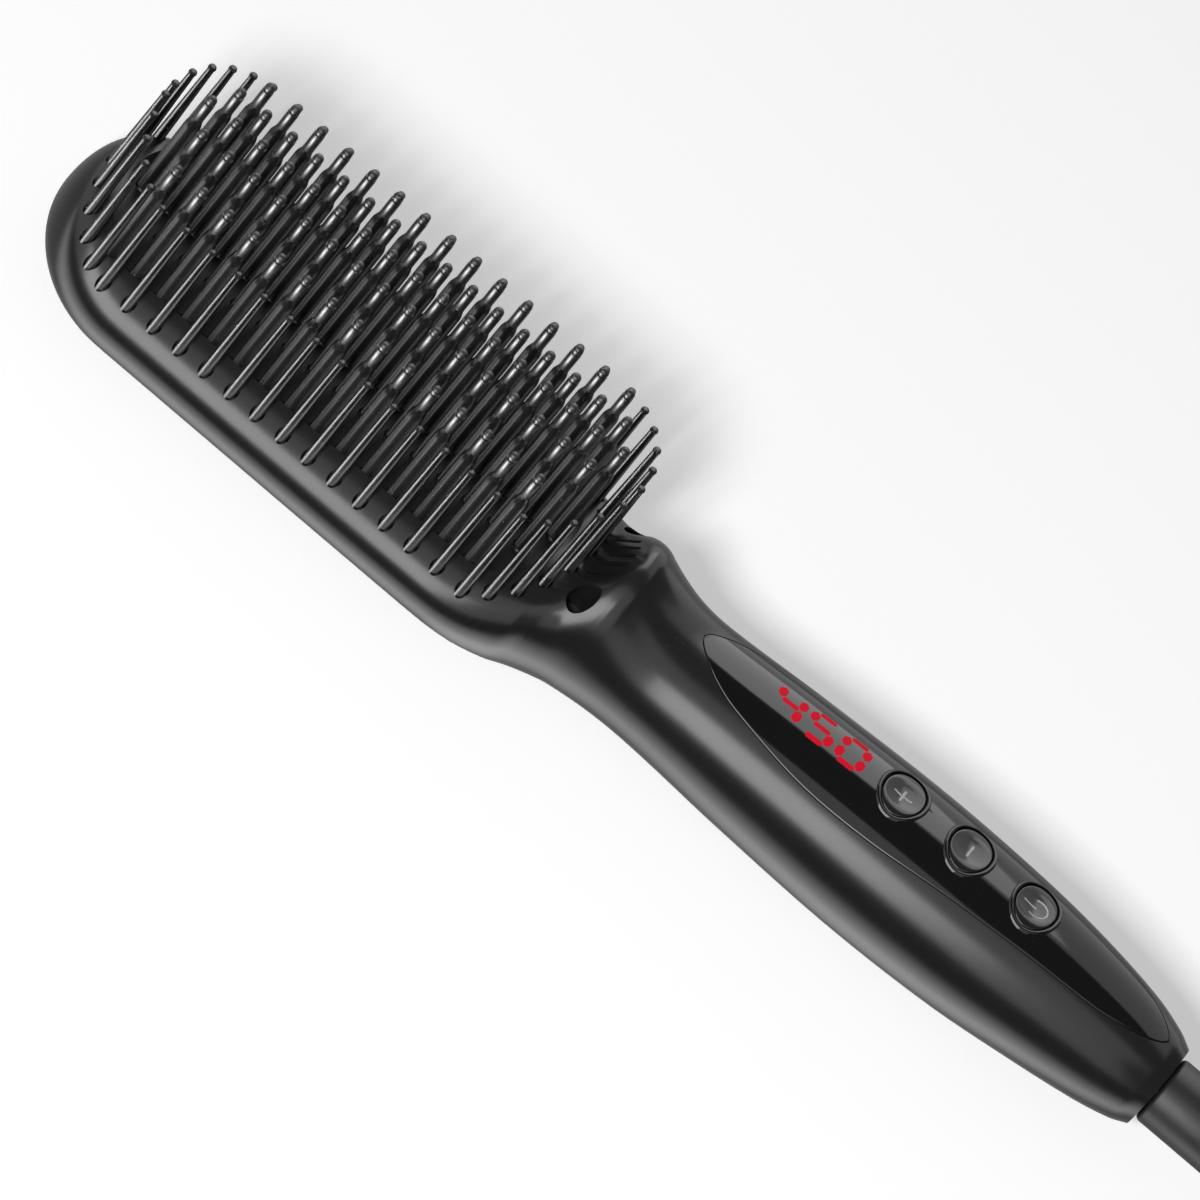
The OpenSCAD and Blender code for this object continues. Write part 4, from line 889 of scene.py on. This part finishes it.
# %% Bush and cord sleeve
SLEEVE_R, SLEEVE_LEN = 6.7, 42.0


def on_axis(profile):
    """Closed profile of (radius, x) pairs turned about the cord's axis."""
    points, quads, tris = along_x(lathe(profile, 64, loop=True))
    return points + [0, 0, AXIS_Z], quads, tris


bush_profile = [(4.55, 235.4), (7.5, 235.4), (7.5, 237), (6.45, 237), (6.45, 244.75), (6.3, 245), (4.8, 245),
                (4.55, 244.8)]
bush = new_piece("end_bush", on_axis(bush_profile), smooth=30)
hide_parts("swivel_bush")


def sleeve_profile():
    """Journal, flange, barrel and five ribs that step down to the cord, each rib with rounded corners."""
    ribs, tail = 5, CORD_D / 2 + 1.6
    step = (SLEEVE_LEN - 20) / ribs
    shape = [(3.45, 233.6), (4.5, 233.6), (4.5, 245.3), (5.7, 245.3), (6.2, 245.4), (6.55, 245.75), (SLEEVE_R, 246.3),
             (SLEEVE_R, 260.4), (6.62, 260.8), (6.4, 261)]
    for i in range(ribs):
        x, r = 261 + i * step, SLEEVE_R + (tail - SLEEVE_R) * (i + 0.5) / ribs
        shape += [(r - 1, x + 0.2), (r - 1.1, x + 0.4), (r - 1.1, x + 1.6), (r - 1, x + 1.85), (r - 0.3, x + 1.95),
                  (r - 0.05, x + 2.2), (r, x + 2.6), (r - 0.1, x + step - 0.5), (r - 0.25, x + step - 0.1)]
    return shape + [(tail - 0.25, 284), (tail - 0.4, 286.4), (tail - 0.7, 286.85), (tail - 1.0, 287), (3.45, 287)]


sleeve = new_piece("turning_sleeve", on_axis(sleeve_profile()), body="swivel", smooth=40)
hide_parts("cord_sleeve")
print("sleeve", len(sleeve.data.polygons), "faces")

# %% [markdown]
# The strap round the hank and the plug at the cord's end are out of the picture but not out of the model.
# The strap is a flat band with a soft edge. The plug is a superellipse that grows from the cord's width.

# %% Strap, plug and its sleeve


def strap_form():
    """Rounded rectangle round the hank, and a flat cross-section with rounded edges carried along it."""
    half, low, high, corner = HANK_R + CORD_D / 2, -REST, -REST + TIE_T + 4 * CORD_D + TIE_T, 1.6
    a = np.radians(np.linspace(0, 90, 7))
    y0, z0, z1 = half + TIE_T - corner, low + corner, high - corner
    turns = [(y0 + corner * np.sin(a), z0 - corner * np.cos(a)), (y0 + corner * np.cos(a), z1 + corner * np.sin(a)),
             (-y0 - corner * np.sin(a), z1 + corner * np.cos(a)), (-y0 - corner * np.cos(a), z0 - corner * np.sin(a))]
    path = np.concatenate([np.stack(t, -1) for t in turns])
    quarters = np.linspace(0, 1, 4, endpoint=False)[:, None]
    path = (path[:, None] + (np.roll(path, -1, 0) - path)[:, None] * quarters).reshape(-1, 2)
    ahead = np.roll(path, -1, 0) - np.roll(path, 1, 0)
    inward = np.stack([-ahead[:, 1], ahead[:, 0]], -1) / np.linalg.norm(ahead, axis=1, keepdims=True)
    section = [(-7, 0.25), (-6.85, 0.05), (-6.6, 0), (6.6, 0), (6.85, 0.05), (7, 0.25), (7, 0.75), (6.7, 0.95),
               (-6.7, 0.95), (-7, 0.75)]
    middle = HANK_X + HANK_RUN / 2
    rings = [np.c_[np.full(len(path), middle + s), path + inward * depth] for s, depth in section]
    return tube(np.stack(rings, 1), loop=True)


def plug_form(stations, half_wide, half_high, round_by):
    """Superellipse rings along the plug, which points back to the handle from the cord's end."""
    turn_round = np.linspace(0, 2 * np.pi, 48, endpoint=False)
    c, s = np.cos(turn_round), np.sin(turn_round)
    power = 2 / np.asarray(round_by)[:, None]
    y = half_wide[:, None] * np.sign(c) * np.abs(c) ** power
    z = half_high[:, None] * np.sign(s) * np.abs(s) ** power
    start = hank_top + TAIL[-1]
    return tube(np.stack([start[0] - np.broadcast_to(stations[:, None], y.shape), start[1] - y, start[2] + z], -1))


PLUG_H, PLUG_HALF_W, SLEEVE_TO = 2 * (float((hank_top + TAIL[-1])[2]) + REST), 12.5, 20
strap = new_piece("hank_strap", outward(strap_form()), smooth=50)

# The plug's sleeve: it widens from the cord, with four ripples.
s = np.array([0, 0.3, 1, 2, 4, 6, 8, 10, 12, 14, 16, 18, 19, 20, 20.4])
wide = CORD_D / 2 + 0.5 + (PLUG_H / 2 - 0.6 - CORD_D / 2 - 0.5) * (s / SLEEVE_TO) ** 1.5
ripple = np.where((s > 1) & (s < 18), 0.25 * np.cos(s * np.pi / 2), 0)
half = wide + ripple - (s == 0) * 0.3
relief = new_piece("plug_sleeve", plug_form(s, half, half, 2 + 0 * s), smooth=50)

# The plug: it lies on the table, so it is twice as high as the cord's end is above the table. It grows
# wider and squarer along its length, and its edges are tucked in at both ends.
s = np.concatenate([[0, 0.25, 0.8], np.linspace(1.6, 24.4, 24), [25.2, 25.75, 26]])
grown = np.clip(s / 18, 0, 1)
grown = grown * grown * (3 - 2 * grown)
tuck_in = np.minimum(np.interp(s, [0, 0.25, 0.8, 1.6], [0.7, 0.3, 0.08, 0])
                     + np.interp(s, [24.4, 25.2, 25.75, 26], [0, 0.1, 0.4, 0.9]), 1)
high = PLUG_H / 2 - tuck_in
wide = PLUG_H / 2 + (PLUG_HALF_W - PLUG_H / 2) * grown - tuck_in
plug = new_piece("plug_moulding", plug_form(SLEEVE_TO + s, wide, high, 2.3 + 1.5 * grown), smooth=50)
for piece, node, slot in ((strap, "cord_tie", "strap"), (relief, "plug_relief", "cord"), (plug, "plug_body", "plug")):
    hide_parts(node)
print("plug height", round(PLUG_H, 1), "mm")

# %% [markdown]
# Moulded plastic is never quite even: it has a fine grain, a slow change in tone, and patches where fingers
# have polished it. These effects are built once, as node groups, and each finish sets its own amounts.

# %% Node helpers


def new_group(name, inputs, outputs):
    """Shader node group with named sockets; gives the group, its input node and its output node."""
    group = bpy.data.node_groups.new(name, "ShaderNodeTree")
    for way, sockets in (("INPUT", inputs), ("OUTPUT", outputs)):
        for label, kind, value in sockets:
            socket = group.interface.new_socket(label, in_out=way, socket_type="NodeSocket" + kind)
            if value is not None:
                socket.default_value = value
    return group, group.nodes.new("NodeGroupInput"), group.nodes.new("NodeGroupOutput")


def add(tree, kind, settings=(), **inputs):
    """New node with its settings; each input is a number, a colour or another node's output."""
    node = tree.nodes.new(kind)
    for key, value in dict(settings).items():
        setattr(node, key, value)
    for key, value in inputs.items():
        socket = node.inputs[int(key[1:])] if key[1:].isdigit() else node.inputs[key.replace("_", " ")]
        if isinstance(value, bpy.types.NodeSocket):
            tree.links.new(value, socket)
        else:
            socket.default_value = value
    return node


def maths(tree, operation, first, second, third=0.0):
    """One arithmetic node."""
    return add(tree, "ShaderNodeMath", {"operation": operation}, i0=first, i1=second, i2=third).outputs[0]


def blend_colour(tree, share, first, second):
    """Mix of two colours."""
    node = add(tree, "ShaderNodeMix", {"data_type": "RGBA", "blend_type": "MIX"}, i0=share, i6=first, i7=second)
    return node.outputs[2]


def ramp(tree, value, start, stop, low, high):
    """Value carried from one range to another in a straight line, and held at both ends."""
    return add(tree, "ShaderNodeMapRange", Value=value, i1=start, i2=stop, i3=low, i4=high).outputs[0]


def centred(tree, noise):
    """A noise's value less its middle, one half."""
    return maths(tree, "SUBTRACT", noise.outputs[0], 0.5)


def white_glow(tree, strength):
    """White emission."""
    return add(tree, "ShaderNodeEmission", Color=(1, 1, 1, 1), Strength=strength)


def send_out(tree, target, **results):
    """Links each named result to the group's output of that name."""
    for name, socket in results.items():
        tree.links.new(socket, target.inputs[name])


# %% Shared effects: moulded grain, and wear with dust
grain, g_in, g_out = new_group(
    "moulded_grain",
    [("Colour", "Color", (0.03, 0.03, 0.03, 1)), ("Roughness", "Float", 0.4), ("Spread", "Float", 0.1),
     ("Grain Scale", "Float", 3000.0), ("Tone", "Float", 0.25)],
    [("Colour", "Color", None), ("Roughness", "Float", None), ("Height", "Float", None)])
where = add(grain, "ShaderNodeTexCoord").outputs["Object"]
fine = add(grain, "ShaderNodeTexNoise", Vector=where, Scale=g_in.outputs["Grain Scale"], Detail=3.0, Roughness=0.6)
slow = add(grain, "ShaderNodeTexNoise", Vector=where, Scale=38.0, Detail=3.0, Roughness=0.55)
touched = add(grain, "ShaderNodeTexNoise", Vector=where, Scale=95.0, Detail=2.0, Roughness=0.5, Distortion=0.6)
tone = maths(grain, "MULTIPLY_ADD", centred(grain, slow), g_in.outputs["Tone"], 1.0)
tone = maths(grain, "MULTIPLY_ADD", centred(grain, fine), g_in.outputs["Tone"], tone)
toned = add(grain, "ShaderNodeVectorMath", {"operation": "SCALE"}, i0=g_in.outputs["Colour"], Scale=tone)
patchy = maths(grain, "MULTIPLY_ADD", centred(grain, touched), g_in.outputs["Spread"], g_in.outputs["Roughness"])
half_spread = maths(grain, "MULTIPLY", g_in.outputs["Spread"], 0.5)
patchy = maths(grain, "MULTIPLY_ADD", centred(grain, fine), half_spread, patchy)
send_out(grain, g_out, Colour=toned.outputs[0], Roughness=patchy, Height=fine.outputs[0])

dust, d_in, d_out = new_group(
    "dust_and_wear",
    [("Colour", "Color", (0.03, 0.03, 0.03, 1)), ("Roughness", "Float", 0.4), ("Amount", "Float", 0.3)],
    [("Colour", "Color", None), ("Roughness", "Float", None)])
where = add(dust, "ShaderNodeTexCoord").outputs["Object"]
specks = add(dust, "ShaderNodeTexVoronoi", {"feature": "F1"}, Vector=where, Scale=900.0)
speck = ramp(dust, specks.outputs["Distance"], 0.05, 0.13, 1.0, 0.0)
clouds = add(dust, "ShaderNodeTexNoise", Vector=where, Scale=60.0, Detail=4.0)
cloud = ramp(dust, clouds.outputs[0], 0.52, 0.72, 0.0, 1.0)
facing = add(dust, "ShaderNodeSeparateXYZ", Vector=add(dust, "ShaderNodeNewGeometry").outputs["Normal"])
lying = ramp(dust, facing.outputs["Z"], 0.1, 0.9, 0.15, 1.0)
mask = maths(dust, "MULTIPLY", maths(dust, "MULTIPLY", speck, cloud), lying)
mask = maths(dust, "MULTIPLY", mask, d_in.outputs["Amount"])
dusted = blend_colour(dust, mask, d_in.outputs["Colour"], (0.32, 0.31, 0.29, 1))
rougher = maths(dust, "MULTIPLY_ADD", mask, 0.4, d_in.outputs["Roughness"])
send_out(dust, d_out, Colour=dusted, Roughness=rougher)
print("groups", [g.name for g in bpy.data.node_groups])

# %% [markdown]
# A finish is one material: the two groups feed colour, roughness and a fine bump, and everything that is the
# same all over is set on the shader itself. The names are those of the record's material slots.

# %% Finishes
finishes = {}


def finish(slot, colour, roughness, spread=0.1, scale=3000.0, tone=0.25, bump=0.12, dusty=0.3, **shader):
    """Principled material with grain, dust and a fine bump. Further names are sockets of the shader itself.
    Gives the material's node tree and its shader."""
    material = bpy.data.materials.new(slot + "_finish")
    material.use_nodes = True
    tree = material.node_tree
    principled = tree.nodes["Principled BSDF"]
    grained = add(tree, "ShaderNodeGroup", {"node_tree": grain})
    amounts = {"Colour": (*colour, 1), "Roughness": roughness, "Spread": spread, "Grain Scale": scale, "Tone": tone}
    for name, value in amounts.items():
        grained.inputs[name].default_value = value
    worn = add(tree, "ShaderNodeGroup", {"node_tree": dust}, Colour=grained.outputs["Colour"],
               Roughness=grained.outputs["Roughness"], Amount=dusty)
    relief_node = add(tree, "ShaderNodeBump", Strength=bump, Distance=0.00005, Height=grained.outputs["Height"])
    tree.links.new(worn.outputs["Colour"], principled.inputs["Base Color"])
    tree.links.new(worn.outputs["Roughness"], principled.inputs["Roughness"])
    tree.links.new(relief_node.outputs["Normal"], principled.inputs["Normal"])
    for key, value in shader.items():
        principled.inputs[key.replace("_", " ")].default_value = value
    finishes[slot] = material
    return tree, principled


finish("body", (0.011, 0.011, 0.0115), 0.235, spread=0.04, scale=2600, tone=0.15, bump=0.015, dusty=0.2, IOR=1.5)
finish("plate", (0.01, 0.01, 0.01), 0.3, spread=0.1, IOR=1.5)
finish("tooth", (0.008, 0.008, 0.0085), 0.26, spread=0.05, bump=0.02, IOR=1.5)
finish("tooth_tip", (0.012, 0.012, 0.0125), 0.34, spread=0.05, bump=0.02, IOR=1.6)
finish("guard", (0.007, 0.007, 0.0075), 0.17, spread=0.03, bump=0.01, IOR=1.5)
finish("carrier", (0.12, 0.12, 0.12), 0.5, tone=0.3)
finish("heater", (0.86, 0.85, 0.82), 0.55, tone=0.12, dusty=0.0)
finish("film", (0.6, 0.36, 0.06), 0.2, dusty=0.0)
finish("steel", (0.62, 0.62, 0.62), 0.32, spread=0.2, Metallic=1.0)
finish("sensor", (0.3, 0.05, 0.03), 0.25, dusty=0.0)
finish("fuse", (0.72, 0.72, 0.7), 0.3, spread=0.2, Metallic=1.0)
finish("lead", (0.45, 0.03, 0.03), 0.5)
finish("board", (0.02, 0.16, 0.07), 0.35, scale=1200, tone=0.5)
finish("component", (0.03, 0.03, 0.03), 0.5)
finish("digits", (0.3, 0.003, 0.01), 0.5, spread=0.02, tone=0.1, bump=0.0, dusty=0.0,
       Emission_Strength=0.5, Specular_IOR_Level=0.05, Emission_Color=(0.72, 0.006, 0.028, 1))
finish("window", (0.003, 0.003, 0.0032), 0.09, spread=0.04, bump=0.02, dusty=0.2, IOR=1.5)
finish("button", (0.01, 0.01, 0.0105), 0.16, spread=0.06, bump=0.05, IOR=1.5)
finish("insulator", (0.8, 0.78, 0.7), 0.5, dusty=0.1)
finish("contact", (0.8, 0.6, 0.28), 0.3, spread=0.2, Metallic=1.0)
finish("cord", (0.014, 0.014, 0.0145), 0.42, spread=0.1, scale=2200, bump=0.2, IOR=1.48)
finish("plug", (0.025, 0.025, 0.026), 0.45, spread=0.1, scale=1800, bump=0.25)
finish("blade", (0.75, 0.75, 0.75), 0.25, spread=0.2, Metallic=1.0)
finish("blackened", (0.03, 0.03, 0.03), 0.5, spread=0.1)
finish("sign", (0.42, 0.42, 0.43), 0.4, tone=0.1, dusty=0.0)
print(len(finishes), "finishes")

# %% [markdown]
# The strap is woven. Two waves that cross each other and are multiplied give the small raised patches of a
# weave. Their bump takes the place of the grain's.

# %% Woven strap
tree, principled = finish("strap", (0.05, 0.05, 0.055), 0.85, tone=0.4, Sheen_Weight=0.4)
where = add(tree, "ShaderNodeTexCoord").outputs["Object"]
threads = [add(tree, "ShaderNodeTexWave", {"bands_direction": axis}, Vector=where, Scale=260.0,
               Distortion=0.6, Detail=1.0) for axis in ("X", "DIAGONAL")]
weave = maths(tree, "MULTIPLY", threads[0].outputs["Fac"], threads[1].outputs["Fac"])
bumped = add(tree, "ShaderNodeBump", Strength=0.6, Distance=0.0004, Height=weave)
tree.links.new(bumped.outputs["Normal"], principled.inputs["Normal"])
print("woven:", [node.bands_direction for node in threads])

# %% [markdown]
# The inner parts stay as the imported model has them and only get their finish, by the slot in the record.
# The two screws get a blackened finish in place of bright steel. That dark colour is painted shade: it stands in for
# the shade in the wells they are sunk in.

# %% Every piece and every model part gets its finish
slots = {row["node"]: row["material_slot"] for row in frame["record"]["subparts"]}
# Painted shade: the screws are made dark so that their wells read as shaded.
slots["neck_screws"] = "blackened"
dressed = {front: "body", cover: "body", bush: "body", plate: "plate", window: "window", digits: "digits",
           sleeve: "cord", flex: "cord", relief: "cord", plug: "plug", strap: "strap"}
for piece in bpy.data.objects:
    for start, slot in (("heated_teeth", "tooth"), ("insulating_knobs", "tooth_tip"), ("guard_bristles", "guard"),
                        ("dished_button", "button"), ("sign_", "sign")):
        if piece.name.startswith(start):
            dressed[piece] = slot
for piece, slot in dressed.items():
    piece.data.materials.clear()
    piece.data.materials.append(finishes[slot])
for node, slot in slots.items():
    for place_for in bpy.data.objects[node].material_slots:
        place_for.material = finishes[slot]
print(len(dressed), "pieces and", len(slots), "model parts dressed")

# %% [markdown]
# The photograph was lit by a large soft box low in front and a little to the left, and a weaker one behind,
# over a bright table. Both boxes are seen only by reflections here. A small lamp makes the shadow and is not seen
# by them. An upright rod that is seen from above mirrors only the table, so the streaks on bristles, teeth and
# knobs come from lamps below the table. Light linking lets each of them reach its own pieces only, and pass
# the table on its way.

# %% Lights
focus = place((117, 0, 10))
LAMP_FAR, SHADE_SIZE, SHADE_WATTS, BELOW = 2.0, 0.3, 31, -44


def soft_box(name, elevation, side, wide, tall, radiance):
    """Area lamp that looks at the brush from a direction, in degrees up and round; watts = radiance * pi * area."""
    lamp = bpy.data.lights.new(name, "AREA")
    lamp.shape, lamp.size, lamp.size_y = "RECTANGLE", wide, tall
    lamp.energy = radiance * np.pi * wide * tall
    e, a = np.radians(elevation), np.radians(side)
    out = np.array([np.cos(e) * np.sin(a), -np.cos(e) * np.cos(a), np.sin(e)])
    across = np.array([np.cos(a), np.sin(a), 0])
    stand = np.eye(4)
    stand[:3, 0], stand[:3, 1], stand[:3, 2] = across, np.cross(out, across), out
    stand[:3, 3] = focus + LAMP_FAR * out
    lamp_object = bpy.data.objects.new(name, lamp)
    lamp_object.matrix_world = stand.T.tolist()
    lamp_object.visible_camera = False
    bpy.context.scene.collection.objects.link(lamp_object)
    return lamp_object


key = soft_box("front_box", 22, -18, 1.7, 1.15, 6.0)
back = soft_box("back_box", 45, 200, 1.5, 1.9, 1.8)
shade = soft_box("shade_lamp", 38, -8, SHADE_SIZE, SHADE_SIZE, SHADE_WATTS / (np.pi * SHADE_SIZE**2))
key.visible_diffuse = back.visible_diffuse = shade.visible_glossy = False
streaks = [
    (soft_box("bristle_streak", BELOW, -56, 0.9, 0.8, 60.0), "guard_bristles"),
    (soft_box("far_streak", BELOW, 84, 0.4, 0.8, 5.0), ("guard_bristles", "heated_teeth")),
    (soft_box("tooth_streak", BELOW, -44, 0.3, 0.8, 18.0), "heated_teeth"),
    (soft_box("tooth_streak", BELOW, -88, 0.3, 0.8, 18.0), "heated_teeth"),
    (soft_box("knob_glow", BELOW, -26, 0.9, 0.8, 50.0), "insulating_knobs")]
unblocked = bpy.data.collections.new("nothing_in_the_way")
for lamp, pieces in streaks:
    lit_pieces = bpy.data.collections.new(lamp.name + "_pieces")
    for piece in bpy.data.objects:
        if piece.name.startswith(pieces):
            lit_pieces.objects.link(piece)
    lamp.visible_diffuse = False
    lamp.light_linking.receiver_collection = lit_pieces
    lamp.light_linking.blocker_collection = unblocked
print("lamps", round(key.data.energy), round(back.data.energy), round(shade.data.energy), "W")

# %% [markdown]
# The world gives a little even light, and shows white to the camera and to reflections. The table is pale and
# keeps the shadow. In reflections alone it is nearly black on the near side and grey under the brush and past
# it, with a bright band between the two, just beside the brush. The band draws the light line along the near side
# of the black body. Beside the head, which is wider, it lies 9 mm farther out. It is laid out in the
# table's own coordinates, so it stays where it is in every view.

# %% World and floor
WORLD_DIM, TABLE_LIFT, TABLE_HALF = 0.13, 0.44, 6000.0
world = bpy.data.worlds.new("studio")
bpy.context.scene.world = world
world.use_nodes = True
tree = world.node_tree
tree.nodes.clear()
seen = add(tree, "ShaderNodeLightPath")
bounced = maths(tree, "MAXIMUM", seen.outputs["Is Glossy Ray"], seen.outputs["Is Transmission Ray"])
shown = maths(tree, "MAXIMUM", seen.outputs["Is Camera Ray"], bounced)
dim = add(tree, "ShaderNodeBackground", Color=(1, 1, 1, 1), Strength=WORLD_DIM)
white = add(tree, "ShaderNodeBackground", Color=(1, 1, 1, 1), Strength=1.0)
both = add(tree, "ShaderNodeMixShader", i0=shown, i1=dim.outputs[0], i2=white.outputs[0])
add(tree, "ShaderNodeOutputWorld", Surface=both.outputs[0])

corners = np.array([[x * TABLE_HALF, y * TABLE_HALF, -REST] for x, y in ((-1, -1), (1, -1), (1, 1), (-1, 1))])
floor = new_piece("floor", (corners, np.array([[0, 1, 2, 3]]), np.zeros((0, 3), int)), body=None)
paper = bpy.data.materials.new("white_table")
paper.use_nodes = True
tree = paper.node_tree
tree.nodes.clear()
seen = add(tree, "ShaderNodeLightPath")
matt = add(tree, "ShaderNodeBsdfDiffuse", Color=(0.9, 0.9, 0.9, 1))
lift = white_glow(tree, maths(tree, "MULTIPLY", seen.outputs["Is Camera Ray"], TABLE_LIFT))
lit = add(tree, "ShaderNodeAddShader", i0=matt.outputs[0], i1=lift.outputs[0])
across = add(tree, "ShaderNodeSeparateXYZ", Vector=add(tree, "ShaderNodeTexCoord").outputs["Object"])
aside = maths(tree, "ADD", across.outputs["Y"], ramp(tree, across.outputs["X"], -0.048, -0.022, 0.009, 0.0))
rise = ramp(tree, aside, -0.04, -0.019, 0.02, 3.0)
fall = ramp(tree, aside, -0.018, -0.0105, 1.0, 0.12)
mirrored = white_glow(tree, maths(tree, "MULTIPLY", rise, fall))
chosen = add(tree, "ShaderNodeMixShader", i0=seen.outputs["Is Glossy Ray"], i1=lit.outputs[0], i2=mirrored.outputs[0])
add(tree, "ShaderNodeOutputMaterial", Surface=chosen.outputs[0])
floor.data.materials.append(paper)
print("table", TABLE_HALF / 500, "m wide, world", WORLD_DIM)

# %% [markdown]
# A white world would make black plastic grey. Two dark cards, one overhead and one upright beyond the cord, stand
# in for the unlit room. Only reflections see them, and they cast no shadow.

# %% Dark cards
CARD_GLOW = 0.13
card_mesh = bpy.data.meshes.new("dark_cards")
card_points = np.array([[-2.5, -0.7, 1.5], [6, -0.7, 1.5], [6, 0.5, 1.5], [-2.5, 0.5, 1.5],
                        [1.6, -2.2, 0.05], [1.6, 2.2, 0.05], [1.6, 2.2, 1.6], [1.6, -2.2, 1.6]])
card_mesh.from_pydata(card_points.tolist(), [], [(0, 3, 2, 1), (4, 7, 6, 5)])
card = bpy.data.objects.new("dark_cards", card_mesh)
bpy.context.scene.collection.objects.link(card)
for kind in ("camera", "diffuse", "shadow", "transmission", "volume_scatter"):
    setattr(card, "visible_" + kind, False)
grey = bpy.data.materials.new("grey_card")
grey.use_nodes = True
tree = grey.node_tree
tree.nodes.clear()
add(tree, "ShaderNodeOutputMaterial", Surface=white_glow(tree, CARD_GLOW).outputs[0])
card.data.materials.append(grey)
unblocked.objects.link(card)
print(len(card_mesh.polygons), "cards")

# %% [markdown]
# Standard shows each colour as it is written.

# %% Plain view
bpy.context.scene.view_settings.view_transform = "Standard"
